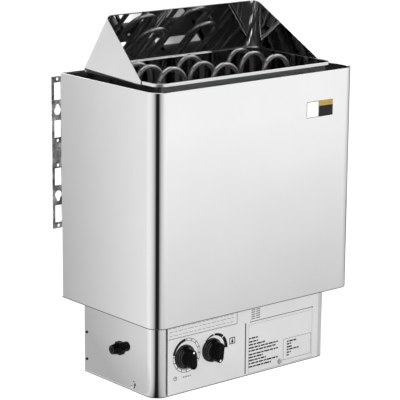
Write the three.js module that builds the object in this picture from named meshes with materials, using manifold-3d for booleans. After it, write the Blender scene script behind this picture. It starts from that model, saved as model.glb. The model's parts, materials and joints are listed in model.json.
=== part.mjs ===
import * as THREE from "three";
import { mergeVertices } from "three/addons/utils/BufferGeometryUtils.js";
import Module from "manifold-3d";

const wasm = await Module();
wasm.setup();

// Wall-hung electric sauna heater, in millimetres.
// X runs to the right of someone facing the front, Y towards the wall and Z up.
// The origin is the centre of the junction box's underside.

// Sheet and fits
const sheet = 1; // shells and covers
const heavySheet = 1.5; // plates and brackets that carry load
const seat = 0.3; // gap between pieces that touch
const shaftPlay = 0.8; // free space round a turning shaft
const screwPlay = 0.4; // free space round a screw's shank

// Facets
const bendFacets = 6; // in a quarter bend of sheet
const tubeBendFacets = 5; // in a quarter bend of tube
const arcFacets = 6; // in one arc of an outline
const holeFacets = 4; // in one arc of a small hole
const turnedFacets = 12; // round a small turned piece
const knobFacets = 36;
const screwFacets = 8;
const tubeSides = 8;
const capillarySides = 6;
const samePoint = 1e-6; // stations closer than this count as one

// Junction box under the casing
const boxWidth = 363;
const boxDepth = 182;
const boxHeight = 131;
const boxBend = 21;
const rearWallFlange = 15;
const rearWallBend = 2.5;
const coverFlange = 18;
const carrierFlange = 30;

// Printed front panel
const panelSheet = 0.8;
const panelMargin = 2;
const slitWidth = 1.6;
const slitPlace = 2;
const slitTop = 89;

// Outer casing
const casingWidth = 410;
const casingDepth = 240;
const casingHeight = 364;
const casingBottom = 122;
const casingOverhang = 30; // how far it stands ahead of the junction box
const casingBend = 23;
const casingReturn = 16;
const returnBend = 3;
const rearPanelFlange = 12;
const rearPanelBend = 2.5;

// Stone box and its grate
const stoneFrontGap = 25.5; // air gap to the casing's front
const stoneSideGap = 24.5;
const stoneRearGap = 19.5;
const stoneRise = 8; // how far the rim stands above the casing
const stoneBend = 20;
const rimHeight = 5;
const ledgeWidth = 12;
const railHeight = 26;
const railFlange = 20;
const railBend = 3;
const railLength = 170;
const grateSlotWidth = 10;
const grateSlotLength = 64;
const grateSlotPitch = 80;
const grateSlotRows = 2;

// Heat reflector above the rim
const reflectorFold = 0.5; // height of its fold above the rim
const reflectorSkirtFront = 7; // its skirt hangs this far below the rim's top at the front
const reflectorSkirtRear = 1;
const reflectorRise = 84; // height of its top above the rim
const reflectorTopWidth = 314;
const reflectorLean = 36; // how far its back leans forward
const reflectorTopBend = 11; // radius of its rear corners along the top
const reflectorSetback = 41; // its sides start this far behind the stone box's front

// Tubular heating elements, three loops each
const tubeDiameter = 8;
const loopWidth = 52; // between the centres of a loop's legs
const loopPitch = 107; // between neighbouring elements
// Tops of the front, middle and rear loop above the rim
const loopRises = {
  left: [13, 9, 9],
  middle: [9, 4, 10],
  right: [12, 10, 11],
};
const rearRowGap = 50; // from the rear row to the stone box's rear
const middleRowGap = 32; // from the middle row to the rear row
const frontRowGap = 55; // from the front row to the middle row
const lowBend = 14;
const lowBendHeight = 16; // of the lower bends above the grate
const legPlay = 1; // free space round a leg in the grate
const legEndDrop = 22; // how far the legs reach down into the junction box
const terminalDiameter = 4;
const terminalLength = 12;
const bushingAcross = 17;
const bushingSleeve = 12;
const bushingNut = 5;
const bushingPlay = 0.3;

// Timer and thermostat
const controlHeight = 60;
const timerInset = 56; // of its axis from the junction box's left side
const knobPitch = 55; // from the timer's axis to the thermostat's
const shaftDiameter = 6;
const knobDiameter = 38.8;
const knobSkirt = 6;
const knobStep = 2;
const knobHeight = 24.5;
const knobTaper = 1.5;
const knobEdge = 1.2;
const gripWidth = 13;
const scoopRadius = 12;
const knobLift = 0.8; // between the skirt and the panel
const knobRoof = 6; // left over the shaft's end
const dotDiameter = 3.2;
const dotDepth = 1.2;
const dotProud = 0.2;
const dotPlace = 12; // from the knob's axis
const timerRest = 3.5; // degrees, of the timer's dot from the top
const thermostatRest = 173; // degrees, of the thermostat's dot from the top
const timerBodySize = 46;
const timerBodyDepth = 34;
const thermostatBodyWidth = 38;
const thermostatBodyHeight = 44;
const thermostatBodyDepth = 32;
const bodyCorner = 4;

// Thermostat sensor
const capillaryDiameter = 2.4;
const capillaryHole = 5;
const capillaryInset = 6; // from the thermostat body's rear face
const capillaryBend = 8;
const bulbDiameter = 6;
const bulbRise = 140; // above the stone box's bottom
const bulbLength = 90;
const clipTab = 9;
const clipHeight = 14;

// Overheat limiter with its reset button
const limiterInset = 121.5; // from the junction box's right side
const limiterPlaceY = 20;
const limiterWidth = 42;
const limiterDepth = 30;
const limiterHeight = 25;
const buttonDiameter = 8;
const buttonPlay = 0.6;
const buttonCollarDiameter = 12;
const buttonCollarHeight = 2;
const buttonTravel = 3;
const buttonLift = 0.6; // of its face above the underside
const buttonStem = 14;

// Terminal block
const terminalInset = 81.5; // of its middle from the junction box's left side
const terminalPlaceY = 25;
const terminalWidth = 92;
const terminalDepth = 30;
const terminalBase = 14;
const terminalRidge = 14;
const terminalHeight = 26;
const poleCount = 5;
const polePitch = 17;
const poleWell = 7;
const poleWellDepth = 9;

// Cable gland on the left side
const glandPlaceY = -21;
const glandHeight = 70;
const glandThread = 16;
const glandBore = 10;
const glandNeck = 10.5; // free thread outside the wall
const glandAcross = 22;
const glandBodyHex = 4.5;
const glandNutHex = 4.5;
const glandDome = 11.5;
const glandDomeStart = 19;
const glandDomeEnd = 15;
const glandSealBore = 7;
const glandSealLength = 6;
const lockNutAcross = 22;
const lockNutHeight = 5;
const glandSleeve = 5; // thread inside the dome nut
const glandPlay = 0.3;

// Wall brackets behind the casing
const standOff = 40;
const bracketLength = 248;
const bracketRise = 227; // of its middle above the casing's bottom
const bracketFlange = 23;
const bracketFoot = 21;
const bracketInset = 11.5; // of its outer edge from the casing's side
const bracketBend = 3;
const bracketSlotWidth = 11;
const bracketSlotLength = 28;
const bracketHole = 5;
const keyholeDiameter = 11;
const keyholeNeck = 6;
const keyholeNeckLength = 10;
// Heights of the pattern from the bracket's middle, the same above and below
const innerHolePlace = 20;
const innerSlotPlace = 39;
const keyholePlace = 67;
const outerSlotPlace = 100;
const outerHolePlace = 119.5;

// Spacers between casing and stone box
const spacerPlace = 38; // from the stone box's rear
const spacerTop = 6; // below the casing's top
const spacerHeight = 24;
const spacerLength = 18;
const spacerBend = 3;

// Screws
const screwHead = 7;
const screwHeadHeight = 2.4;
const screwHeadRim = 0.4; // share of the head's height that is straight
const screwHeadCrown = 0.6; // share of the head's radius that its top keeps
const screwShank = 3.6;
const screwLength = 7;
const drillLength = 40; // of a tool that crosses the sheets under a screw
const sideScrewHead = 4.4;
const sideScrewHeadHeight = 1.5;
const sideScrewShank = 2.4;
const sideScrewInset = 6; // from the junction box's rear edge
const sideScrewHeights = [22, 67];
const coverScrewHeight = 10;
const coverScrewSide = -37;
const coverScrewInset = 104.5; // of the front one from the junction box's right side
const casingScrewInset = 9;
const casingScrewDrop = 40; // of the upper ones from the casing's top
const casingScrewLift = 8; // of the lower ones above the carrier plate's upstand
const bracketScrewSpread = 90;

// Places worked out from the sizes above
const boxFront = -boxDepth / 2;
const boxRear = boxDepth / 2;
const boxSide = boxWidth / 2;
const timerPlace = timerInset - boxSide;
const thermostatPlace = timerPlace + knobPitch;
const terminalPlaceX = terminalInset - boxSide;
const limiterPlaceX = boxSide - limiterInset;
const coverScrewFront = boxSide - coverScrewInset;
const casingSide = casingWidth / 2;
const casingFront = boxFront - casingOverhang;
const casingRear = casingFront + casingDepth;
const casingTop = casingBottom + casingHeight;
const rearPanelBack = casingRear - sheet - seat;
const rearPanelFace = rearPanelBack - sheet;
const carrierBottom = boxHeight + seat;
const carrierTop = carrierBottom + heavySheet;
const railBottom = carrierTop + seat;
const stoneBottom = railBottom + railHeight + seat;
const stoneTop = casingTop + stoneRise;
const stoneFront = casingFront + stoneFrontGap;
const stoneRear = casingRear - stoneRearGap;
const stoneCentre = (stoneFront + stoneRear) / 2;
const stoneSide = casingSide - stoneSideGap;
const rearRow = stoneRear - rearRowGap;
const middleRow = rearRow - middleRowGap;
const frontRow = middleRow - frontRowGap;
const grateBottom = stoneBottom + sheet + seat;
const grateTop = grateBottom + heavySheet;
const panelBack = boxFront - seat;
const panelFace = panelBack - panelSheet;
const wallInside = boxFront + sheet;
const elementPlaces = { left: -loopPitch, middle: 0, right: loopPitch };
const legHole = tubeDiameter + 2 * legPlay;
const bulbBottom = stoneBottom + bulbRise;
const bracketCentre = casingBottom + bracketRise;
const screwHole = screwShank + 2 * screwPlay;
const sideScrewHole = sideScrewShank + 2 * screwPlay;
const shaftHole = shaftDiameter + 2 * shaftPlay;
const coverInset = 2 * (sheet + seat); // inside the walls and inside the rear wall's flanges

// Materials
function finish(colour, roughness, metalness) {
  return new THREE.MeshStandardMaterial({ color: colour, roughness, metalness });
}
const mirrorSteel = finish(0xd9dcde, 0.08, 1);
const satinSteel = finish(0xb4b8bb, 0.35, 1);
const galvanised = finish(0xa3a8aa, 0.45, 1);
const elementSteel = finish(0x4a4a49, 0.55, 0.9);
const panelPrint = finish(0xdfe1e2, 0.3, 0.6);
const blackPlastic = finish(0x141414, 0.45, 0);
const blackSteel = finish(0x1d1d1e, 0.4, 0.8);
const whitePlastic = finish(0xf2f2ef, 0.5, 0);
const redPlastic = finish(0xb3221c, 0.45, 0);
const ceramic = finish(0xe6e0d2, 0.6, 0);
const copper = finish(0xb87545, 0.35, 1);
const rubber = finish(0x202020, 0.8, 0);

const heater = new THREE.Group();

// Solids for cutting and joining
function solid(geometry) {
  const bare = geometry.clone();
  bare.deleteAttribute("normal");
  bare.deleteAttribute("uv");
  const merged = mergeVertices(bare);
  const corners = merged.attributes.position.array;
  const triangles = new Uint32Array(merged.index.array);
  return new wasm.Manifold(new wasm.Mesh({ numProp: 3, vertProperties: corners, triVerts: triangles }));
}

function geometryOf(body) {
  const mesh = body.getMesh();
  const indexed = new THREE.BufferGeometry();
  indexed.setAttribute("position", new THREE.BufferAttribute(mesh.vertProperties, 3));
  indexed.setIndex(new THREE.BufferAttribute(mesh.triVerts, 1));
  const flat = indexed.toNonIndexed();
  flat.computeVertexNormals();
  return flat;
}

function join(first, ...others) {
  return others.reduce((whole, other) => whole.add(solid(other)), solid(first));
}

function cut(body, ...tools) {
  return tools.reduce((rest, tool) => rest.subtract(solid(tool)), body);
}

function place(name, shape, material, parent = heater) {
  const geometry = shape.isBufferGeometry ? shape : geometryOf(shape);
  const mesh = new THREE.Mesh(geometry, material);
  mesh.name = name;
  parent.add(mesh);
  return mesh;
}

// Outlines
function circle(radius, x = 0, y = 0, facets = 2 * arcFacets, Kind = THREE.Shape) {
  const centre = new THREE.Vector2(x, y);
  const points = Array.from({ length: facets }, (_, step) => {
    return new THREE.Vector2(x + radius, y).rotateAround(centre, (2 * Math.PI * step) / facets);
  });
  return new Kind(points);
}

// The corner radius of a faceted hole that lets the full diameter through.
function clearRadius(diameter, facets) {
  return diameter / 2 / Math.cos(Math.PI / facets);
}

function hole(diameter, x = 0, y = 0, facets = 2 * holeFacets) {
  return circle(clearRadius(diameter, facets), x, y, facets, THREE.Path);
}

function hexagon(across) {
  const sides = 6;
  return circle(clearRadius(across, sides), 0, 0, sides);
}

// A rectangle between two corners, with its own radius at the front and at the rear corners.
function rectangle(left, front, right, rear, frontRadius, rearRadius = frontRadius, Kind = THREE.Shape) {
  const path = new Kind();
  const quarter = Math.PI / 2;
  const corner = (x, y, radius, turn) => {
    if (radius > 0) path.absarc(x, y, radius, turn, turn + quarter);
    else path.lineTo(x, y);
  };
  path.moveTo(left + frontRadius, front);
  corner(right - frontRadius, front + frontRadius, frontRadius, -quarter);
  corner(right - rearRadius, rear - rearRadius, rearRadius, 0);
  corner(left + rearRadius, rear - rearRadius, rearRadius, quarter);
  corner(left + frontRadius, front + frontRadius, frontRadius, 2 * quarter);
  return path;
}

// A slot with round ends that stands upright.
function uprightSlot(x, y, width, length, Kind = THREE.Path) {
  const radius = width / 2;
  const reach = length / 2 - radius;
  const path = new Kind();
  path.moveTo(x + radius, y - reach);
  path.lineTo(x + radius, y + reach);
  path.absarc(x, y + reach, radius, 0, Math.PI);
  path.lineTo(x - radius, y - reach);
  path.absarc(x, y - reach, radius, Math.PI, 2 * Math.PI);
  return path;
}

function extrude(shape, depth, facets = arcFacets) {
  return new THREE.ExtrudeGeometry(shape, { depth, bevelEnabled: false, curveSegments: facets / 2 });
}

// Turns an extrusion so that its outline lies in Y and Z and its depth runs along X.
function alongX(geometry) {
  const turn = new THREE.Matrix4();
  turn.makeBasis(new THREE.Vector3(0, 1, 0), new THREE.Vector3(0, 0, 1), new THREE.Vector3(1, 0, 0));
  return geometry.applyMatrix4(turn);
}

// Turns an extrusion so that its outline lies in X and Z and its depth runs from the rear to the front.
function alongY(geometry) {
  return geometry.rotateX(Math.PI / 2);
}

// A round pin that stands on Z.
function pin(diameter, length, facets = turnedFacets) {
  return extrude(circle(diameter / 2, 0, 0, facets), length);
}

// Stations along straight runs with rounded corners: each has a point and the direction there.
function bentStations(corners, radii, facets) {
  const stations = [];
  const push = (point, direction) => {
    const last = stations[stations.length - 1];
    if (!last || last.point.distanceTo(point) > samePoint) stations.push({ point, direction });
  };
  corners.forEach((corner, index) => {
    const before = corners[index - 1];
    const after = corners[index + 1];
    if (!before || !after) {
      const run = before ? corner.clone().sub(before) : after.clone().sub(corner);
      push(corner.clone(), run.normalize());
      return;
    }
    const into = corner.clone().sub(before).normalize();
    const out = after.clone().sub(corner).normalize();
    const angle = Math.acos(into.dot(out));
    const inward = out.clone().addScaledVector(into, -into.dot(out)).normalize();
    const radius = radii[index - 1];
    const start = corner.clone().addScaledVector(into, -radius * Math.tan(angle / 2));
    const centre = start.clone().addScaledVector(inward, radius);
    for (let step = 0; step <= facets; step += 1) {
      const turn = (angle * step) / facets;
      const point = centre.clone().addScaledVector(inward, -radius * Math.cos(turn));
      point.addScaledVector(into, radius * Math.sin(turn));
      const direction = into.clone().multiplyScalar(Math.cos(turn)).addScaledVector(inward, Math.sin(turn));
      push(point, direction);
    }
  });
  return stations;
}

// The edge-on outline of a bent sheet: its corners lie on one face, and its thickness is on their left.
function bentSheet(corners, radii, thickness) {
  const points = corners.map(([x, y]) => new THREE.Vector3(x, y, 0));
  const stations = bentStations(points, radii, bendFacets);
  const face = stations.map(({ point }) => new THREE.Vector2(point.x, point.y));
  const back = stations.map(({ point, direction }) => {
    return new THREE.Vector2(point.x - direction.y * thickness, point.y + direction.x * thickness);
  });
  return new THREE.Shape([...face, ...back.reverse()]);
}

// A path for bent tube, sampled only where the tube bends.
class BentTube extends THREE.Curve {
  constructor(corners, radii, facets) {
    super();
    this.stations = bentStations(corners, radii, facets);
  }
  get steps() {
    return this.stations.length - 1;
  }
  getPointAt(along, target = new THREE.Vector3()) {
    return target.copy(this.stations[Math.round(along * this.steps)].point);
  }
  getTangentAt(along, target = new THREE.Vector3()) {
    return target.copy(this.stations[Math.round(along * this.steps)].direction);
  }
}

function bentTube(corners, radii, facets, diameter, sides) {
  const path = new BentTube(corners, radii, facets);
  const rim = new THREE.Vector2(diameter / 2, 0);
  const section = Array.from({ length: sides }, (_, side) => {
    return rim.clone().rotateAround(new THREE.Vector2(), (2 * Math.PI * side) / sides);
  });
  const settings = { steps: path.steps, extrudePath: path, bevelEnabled: false };
  return new THREE.ExtrudeGeometry(new THREE.Shape(section), settings);
}

function turned(profile, facets) {
  const points = profile.map(([radius, height]) => new THREE.Vector2(radius, height));
  return new THREE.LatheGeometry(points, facets);
}

// Screws: each stands on its head's underside, with the head along +Y and the shank along -Y.
function screwShape(head, headHeight, shank) {
  const profile = [
    [0, -screwLength],
    [shank / 2, -screwLength],
    [shank / 2, 0],
    [head / 2, 0],
    [head / 2, headHeight * screwHeadRim],
    [(head / 2) * screwHeadCrown, headHeight],
    [0, headHeight],
  ];
  return turned(profile, screwFacets);
}
const sheetScrew = screwShape(screwHead, screwHeadHeight, screwShank);
const sideScrew = screwShape(sideScrewHead, sideScrewHeadHeight, sideScrewShank);
function screw(name, material, position, outward, shape = sheetScrew) {
  const mesh = place(name, shape, material);
  mesh.position.set(...position).addScaledVector(outward, seat);
  mesh.quaternion.setFromUnitVectors(new THREE.Vector3(0, 1, 0), outward);
}

const toLeft = new THREE.Vector3(-1, 0, 0);
const toRight = new THREE.Vector3(1, 0, 0);
const toFront = new THREE.Vector3(0, -1, 0);
const toRear = new THREE.Vector3(0, 1, 0);

// Tools for cutting holes that run along X or along Y.
function drill(diameter, facets = 2 * holeFacets) {
  return extrude(circle(clearRadius(diameter, facets), 0, 0, facets), drillLength);
}

function drillX(diameter, x, y, z, facets) {
  return alongX(drill(diameter, facets)).translate(x - drillLength / 2, y, z);
}

function drillY(diameter, x, y, z, facets) {
  return alongY(drill(diameter, facets)).translate(x, y + drillLength / 2, z);
}

// Outer casing: one sheet wrapped round the sides and the front, with returns behind
const casingScrewSpots = [-1, 1].flatMap((side) => {
  const x = side * (casingSide - casingScrewInset);
  const lower = carrierBottom + carrierFlange + casingScrewLift;
  return [lower, casingTop - casingScrewDrop].map((z) => [x, z]);
});

function makeCasing() {
  const returnEnd = casingSide - casingReturn;
  const corners = [
    [-returnEnd, casingRear],
    [-casingSide, casingRear],
    [-casingSide, casingFront],
    [casingSide, casingFront],
    [casingSide, casingRear],
    [returnEnd, casingRear],
  ];
  const outline = bentSheet(corners, [returnBend, casingBend, casingBend, returnBend], sheet);
  const wrap = extrude(outline, casingHeight).translate(0, 0, casingBottom);
  const holes = casingScrewSpots.map(([x, z]) => drillY(screwHole, x, casingRear, z));
  place("outer_casing", cut(solid(wrap), ...holes), mirrorSteel);
}

// Rear panel behind the stone box
const bracketFootPlace = casingSide - bracketInset - bracketFlange - bracketFoot / 2;
const bracketScrewSpots = [-1, 1].flatMap((side) => {
  const x = side * bracketFootPlace;
  return [-bracketScrewSpread, bracketScrewSpread].map((rise) => [x, bracketCentre + rise]);
});

function makeRearPanel() {
  const side = casingSide - sheet - seat;
  const corners = [
    [side, rearPanelBack - rearPanelFlange],
    [side, rearPanelBack],
    [-side, rearPanelBack],
    [-side, rearPanelBack - rearPanelFlange],
  ];
  const outline = bentSheet(corners, [rearPanelBend, rearPanelBend], sheet);
  const panel = extrude(outline, casingHeight).translate(0, 0, casingBottom);
  const spots = [...casingScrewSpots, ...bracketScrewSpots];
  const holes = spots.map(([x, z]) => drillY(screwHole, x, rearPanelBack, z));
  place("rear_panel", cut(solid(panel), ...holes), satinSteel);
  casingScrewSpots.forEach(([x, z], index) => {
    screw(`casing_screw_${index + 1}`, satinSteel, [x, casingRear, z], toRear);
  });
}

// Carrier plate on the junction box, which holds the elements and joins the rear panel
const legSpots = Object.entries(elementPlaces).flatMap(([name, x]) => [
  { name: `${name}_front`, x: x - loopWidth / 2, y: frontRow },
  { name: `${name}_rear`, x: x + loopWidth / 2, y: rearRow },
]);
const capillarySpot = {
  x: thermostatPlace,
  y: wallInside + seat + thermostatBodyDepth - capillaryInset,
};

function makeCarrier() {
  const rear = rearPanelFace - seat;
  const plate = rectangle(-boxSide, boxFront, boxSide, rear, boxBend, rearWallBend);
  const bushingHole = bushingSleeve + 2 * bushingPlay;
  legSpots.forEach(({ x, y }) => plate.holes.push(hole(bushingHole, x, y)));
  plate.holes.push(hole(capillaryHole, capillarySpot.x, capillarySpot.y));
  const flat = extrude(plate, heavySheet).translate(0, 0, carrierBottom);
  const reach = boxSide - rearWallBend;
  const upstand = extrude(rectangle(-reach, rear - heavySheet, reach, rear, 0), carrierFlange);
  place("carrier_plate", join(flat, upstand.translate(0, 0, carrierBottom)), galvanised);
}

// Rails that lift the stone box off the carrier plate
function makeRails() {
  const shape = (side) => {
    const outer = stoneSide - sheet - railFlange;
    const inner = stoneSide - sheet;
    const corners = [
      [side * outer, railBottom],
      [side * inner, railBottom],
      [side * inner, railBottom + railHeight],
      [side * outer, railBottom + railHeight],
    ];
    return bentSheet(corners, [railBend, railBend], side * heavySheet);
  };
  for (const [name, side] of [["left", -1], ["right", 1]]) {
    const rail = alongY(extrude(shape(side), railLength));
    place(`support_rail_${name}`, rail, galvanised).position.y = stoneCentre + railLength / 2;
  }
}

// Stone box: walls with a doubled rim and a ledge for the grate
function stoneOutline(inset, Kind) {
  const radius = stoneBend - inset;
  return rectangle(
    -stoneSide + inset,
    stoneFront + inset,
    stoneSide - inset,
    stoneRear - inset,
    radius,
    radius,
    Kind,
  );
}

function stoneRing(outerInset, innerInset, height) {
  const ring = stoneOutline(outerInset);
  ring.holes.push(stoneOutline(innerInset, THREE.Path));
  return extrude(ring, height);
}

function makeStoneBox() {
  const wallOuter = sheet;
  const wallInner = 2 * sheet;
  const walls = stoneRing(wallOuter, wallInner, stoneTop - stoneBottom).translate(0, 0, stoneBottom);
  const rim = stoneRing(0, wallInner, rimHeight).translate(0, 0, stoneTop - rimHeight);
  const ledge = stoneRing(wallOuter, wallInner + ledgeWidth, sheet).translate(0, 0, stoneBottom);
  place("stone_box", join(walls, rim, ledge), mirrorSteel);
}

function makeGrate() {
  const grate = stoneOutline(2 * sheet + seat);
  legSpots.forEach(({ x, y }) => grate.holes.push(hole(legHole, x, y)));
  const inner = loopPitch / 2;
  const outer = (loopPitch + loopWidth / 2 + stoneSide) / 2;
  for (const x of [-outer, -inner, inner, outer]) {
    for (let row = 0; row < grateSlotRows; row += 1) {
      const y = stoneCentre + (row - (grateSlotRows - 1) / 2) * grateSlotPitch;
      grate.holes.push(uprightSlot(x, y, grateSlotWidth, grateSlotLength));
    }
  }
  place("stone_grate", extrude(grate, heavySheet, holeFacets), galvanised).position.z = grateBottom;
}

// Heat reflector: a skirt round the rim, folded into a leaning back and leaning sides
function makeReflector() {
  const side = stoneSide + seat + sheet;
  const rear = stoneRear + seat + sheet;
  const front = stoneFront + reflectorSetback;
  const bend = stoneBend + seat + sheet;
  const corners = [
    [side, front],
    [side, rear],
    [-side, rear],
    [-side, front],
  ];
  const fold = stoneTop + reflectorFold;
  const top = stoneTop + reflectorRise;
  const steps = 2;
  const outline = bentSheet(corners, [bend, bend], sheet);
  const folded = new THREE.ExtrudeGeometry(outline, { depth: steps, steps, bevelEnabled: false });
  const narrowing = reflectorTopWidth / (2 * side);
  const topCorners = corners.map(([x, y]) => [x * narrowing, y - reflectorLean]);
  const topOutline = bentSheet(topCorners, [reflectorTopBend, reflectorTopBend], sheet);
  const lowPoints = outline.getPoints();
  const topPoints = topOutline.getPoints();
  const points = folded.attributes.position;
  for (let index = 0; index < points.count; index += 1) {
    const level = Math.round(points.getZ(index));
    if (level === 0) {
      const y = points.getY(index);
      const drop = THREE.MathUtils.mapLinear(y, front, rear, reflectorSkirtFront, reflectorSkirtRear);
      points.setZ(index, stoneTop - drop);
    } else if (level === steps) {
      points.setZ(index, top);
      const place = new THREE.Vector2(points.getX(index), points.getY(index));
      const match = topPoints[lowPoints.findIndex((point) => point.distanceTo(place) < seat)];
      points.setXY(index, match.x, match.y);
    } else {
      points.setZ(index, fold);
    }
  }
  // The front edges of both sides lie on one slant from the fold's front end to the top of the back.
  const topRear = rear - reflectorLean;
  const run = topRear - front;
  const climb = top - fold;
  const size = 2 * casingWidth;
  const slant = Math.atan2(climb, run);
  const away = new THREE.BoxGeometry(size, size, size).rotateX(slant);
  away.translate(0, front - (Math.sin(slant) * size) / 2, fold + (Math.cos(slant) * size) / 2);
  place("heat_reflector", cut(solid(folded), away), mirrorSteel);
}

// Heating elements: each is one tube with three upright loops and two lower bends
function makeElement(name, x) {
  const left = x - loopWidth / 2;
  const right = x + loopWidth / 2;
  const tops = loopRises[name].map((rise) => stoneTop + rise - tubeDiameter / 2);
  const [frontTop, middleTop, rearTop] = tops;
  const low = grateTop + lowBendHeight;
  const end = boxHeight - legEndDrop;
  const corners = [
    [left, frontRow, end],
    [left, frontRow, frontTop],
    [right, frontRow, frontTop],
    [right, frontRow, low],
    [right, middleRow, low],
    [right, middleRow, middleTop],
    [left, middleRow, middleTop],
    [left, middleRow, low],
    [left, rearRow, low],
    [left, rearRow, rearTop],
    [right, rearRow, rearTop],
    [right, rearRow, end],
  ].map((point) => new THREE.Vector3(...point));
  const loop = loopWidth / 2;
  const radii = [loop, loop, lowBend, lowBend, loop, loop, lowBend, lowBend, loop, loop];
  const tube = bentTube(corners, radii, tubeBendFacets, tubeDiameter, tubeSides);
  const rod = () => pin(terminalDiameter, terminalLength + tubeDiameter, tubeSides);
  const bottom = end - terminalLength;
  const first = rod().translate(left, frontRow, bottom);
  const last = rod().translate(right, rearRow, bottom);
  place(`heating_element_${name}`, join(tube, first, last), elementSteel);
}

function makeBushings() {
  const bore = () => hole(tubeDiameter + 2 * bushingPlay);
  const nut = () => {
    const shape = hexagon(bushingAcross);
    shape.holes.push(bore());
    return extrude(shape, bushingNut);
  };
  const sleeveShape = circle(bushingSleeve / 2, 0, 0, tubeSides);
  sleeveShape.holes.push(bore());
  const lower = carrierBottom - seat - bushingNut;
  const upper = carrierTop + seat;
  const sleeve = extrude(sleeveShape, upper - lower).translate(0, 0, lower);
  const bushing = geometryOf(join(sleeve, nut().translate(0, 0, lower), nut().translate(0, 0, upper)));
  legSpots.forEach(({ name, x, y }) => place(`bushing_${name}`, bushing, satinSteel).position.set(x, y, 0));
}

// Junction box: sides and front from one sheet, a rear wall and a bottom cover
const controlPlaces = [timerPlace, thermostatPlace];
function makeJunctionBox() {
  const corners = [
    [-boxSide, boxRear],
    [-boxSide, boxFront],
    [boxSide, boxFront],
    [boxSide, boxRear],
  ];
  const wrap = extrude(bentSheet(corners, [boxBend, boxBend], sheet), boxHeight);
  const holes = controlPlaces.map((x) => drillY(shaftHole, x, boxFront, controlHeight));
  holes.push(drillX(glandThread + 2 * glandPlay, -boxSide, glandPlaceY, glandHeight, turnedFacets));
  holes.push(drillY(screwHole, coverScrewFront, boxFront, coverScrewHeight));
  for (const x of [-boxSide, boxSide]) {
    holes.push(drillX(screwHole, x, coverScrewSide, coverScrewHeight));
    sideScrewHeights.forEach((z) => holes.push(drillX(sideScrewHole, x, boxRear - sideScrewInset, z)));
  }
  place("junction_box", cut(solid(wrap), ...holes), mirrorSteel);
}

function makeRearWall() {
  const side = boxSide - sheet - seat;
  const corners = [
    [side, boxRear - rearWallFlange],
    [side, boxRear],
    [-side, boxRear],
    [-side, boxRear - rearWallFlange],
  ];
  const wall = extrude(bentSheet(corners, [rearWallBend, rearWallBend], sheet), boxHeight);
  const holes = [-side, side].flatMap((x) => {
    return sideScrewHeights.map((z) => drillX(sideScrewHole, x, boxRear - sideScrewInset, z));
  });
  place("junction_box_rear", cut(solid(wall), ...holes), satinSteel);
  for (const [name, x, outward] of [["left", -boxSide, toLeft], ["right", boxSide, toRight]]) {
    sideScrewHeights.forEach((z, index) => {
      const level = ["lower", "upper"][index];
      const position = [x, boxRear - sideScrewInset, z];
      screw(`side_screw_${name}_${level}`, blackSteel, position, outward, sideScrew);
    });
  }
}

function coverOutline(inset, Kind) {
  return rectangle(
    -boxSide + coverInset + inset,
    boxFront + coverInset + inset,
    boxSide - coverInset - inset,
    boxRear - sheet - seat - inset,
    boxBend - coverInset - inset,
    rearWallBend - inset,
    Kind,
  );
}

function makeBottomCover() {
  const floor = coverOutline(0);
  floor.holes.push(circle(buttonDiameter / 2 + buttonPlay, limiterPlaceX, limiterPlaceY));
  const flange = coverOutline(0);
  flange.holes.push(coverOutline(sheet, THREE.Path));
  const pan = join(extrude(floor, sheet), extrude(flange, coverFlange));
  const holes = [drillY(screwHole, coverScrewFront, boxFront, coverScrewHeight)];
  for (const x of [-boxSide, boxSide]) holes.push(drillX(screwHole, x, coverScrewSide, coverScrewHeight));
  place("bottom_cover", cut(pan, ...holes), satinSteel);
  screw("cover_screw_left", satinSteel, [-boxSide, coverScrewSide, coverScrewHeight], toLeft);
  screw("cover_screw_right", satinSteel, [boxSide, coverScrewSide, coverScrewHeight], toRight);
  screw("cover_screw_front", satinSteel, [coverScrewFront, panelFace, coverScrewHeight], toFront);
}

// Printed panel on the flat of the front
function makeFrontPanel() {
  const reach = boxSide - boxBend;
  const panel = rectangle(-reach, panelMargin, reach, boxHeight - panelMargin, panelMargin);
  controlPlaces.forEach((x) => panel.holes.push(hole(shaftHole, x, controlHeight)));
  panel.holes.push(hole(screwHole, coverScrewFront, coverScrewHeight));
  const slitLength = slitTop - 2 * panelMargin;
  panel.holes.push(uprightSlot(slitPlace, slitTop - slitLength / 2, slitWidth, slitLength));
  place("front_panel", alongY(extrude(panel, panelSheet)), panelPrint).position.y = panelBack;
}

// Controls: a group whose Z points out of the panel and whose Y points to the dot on the knob
function controlGroup(x, turn) {
  const group = new THREE.Group();
  group.position.set(x, panelFace, controlHeight);
  group.rotation.set(Math.PI / 2, 0, THREE.MathUtils.degToRad(turn));
  heater.add(group);
  return group;
}

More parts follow.
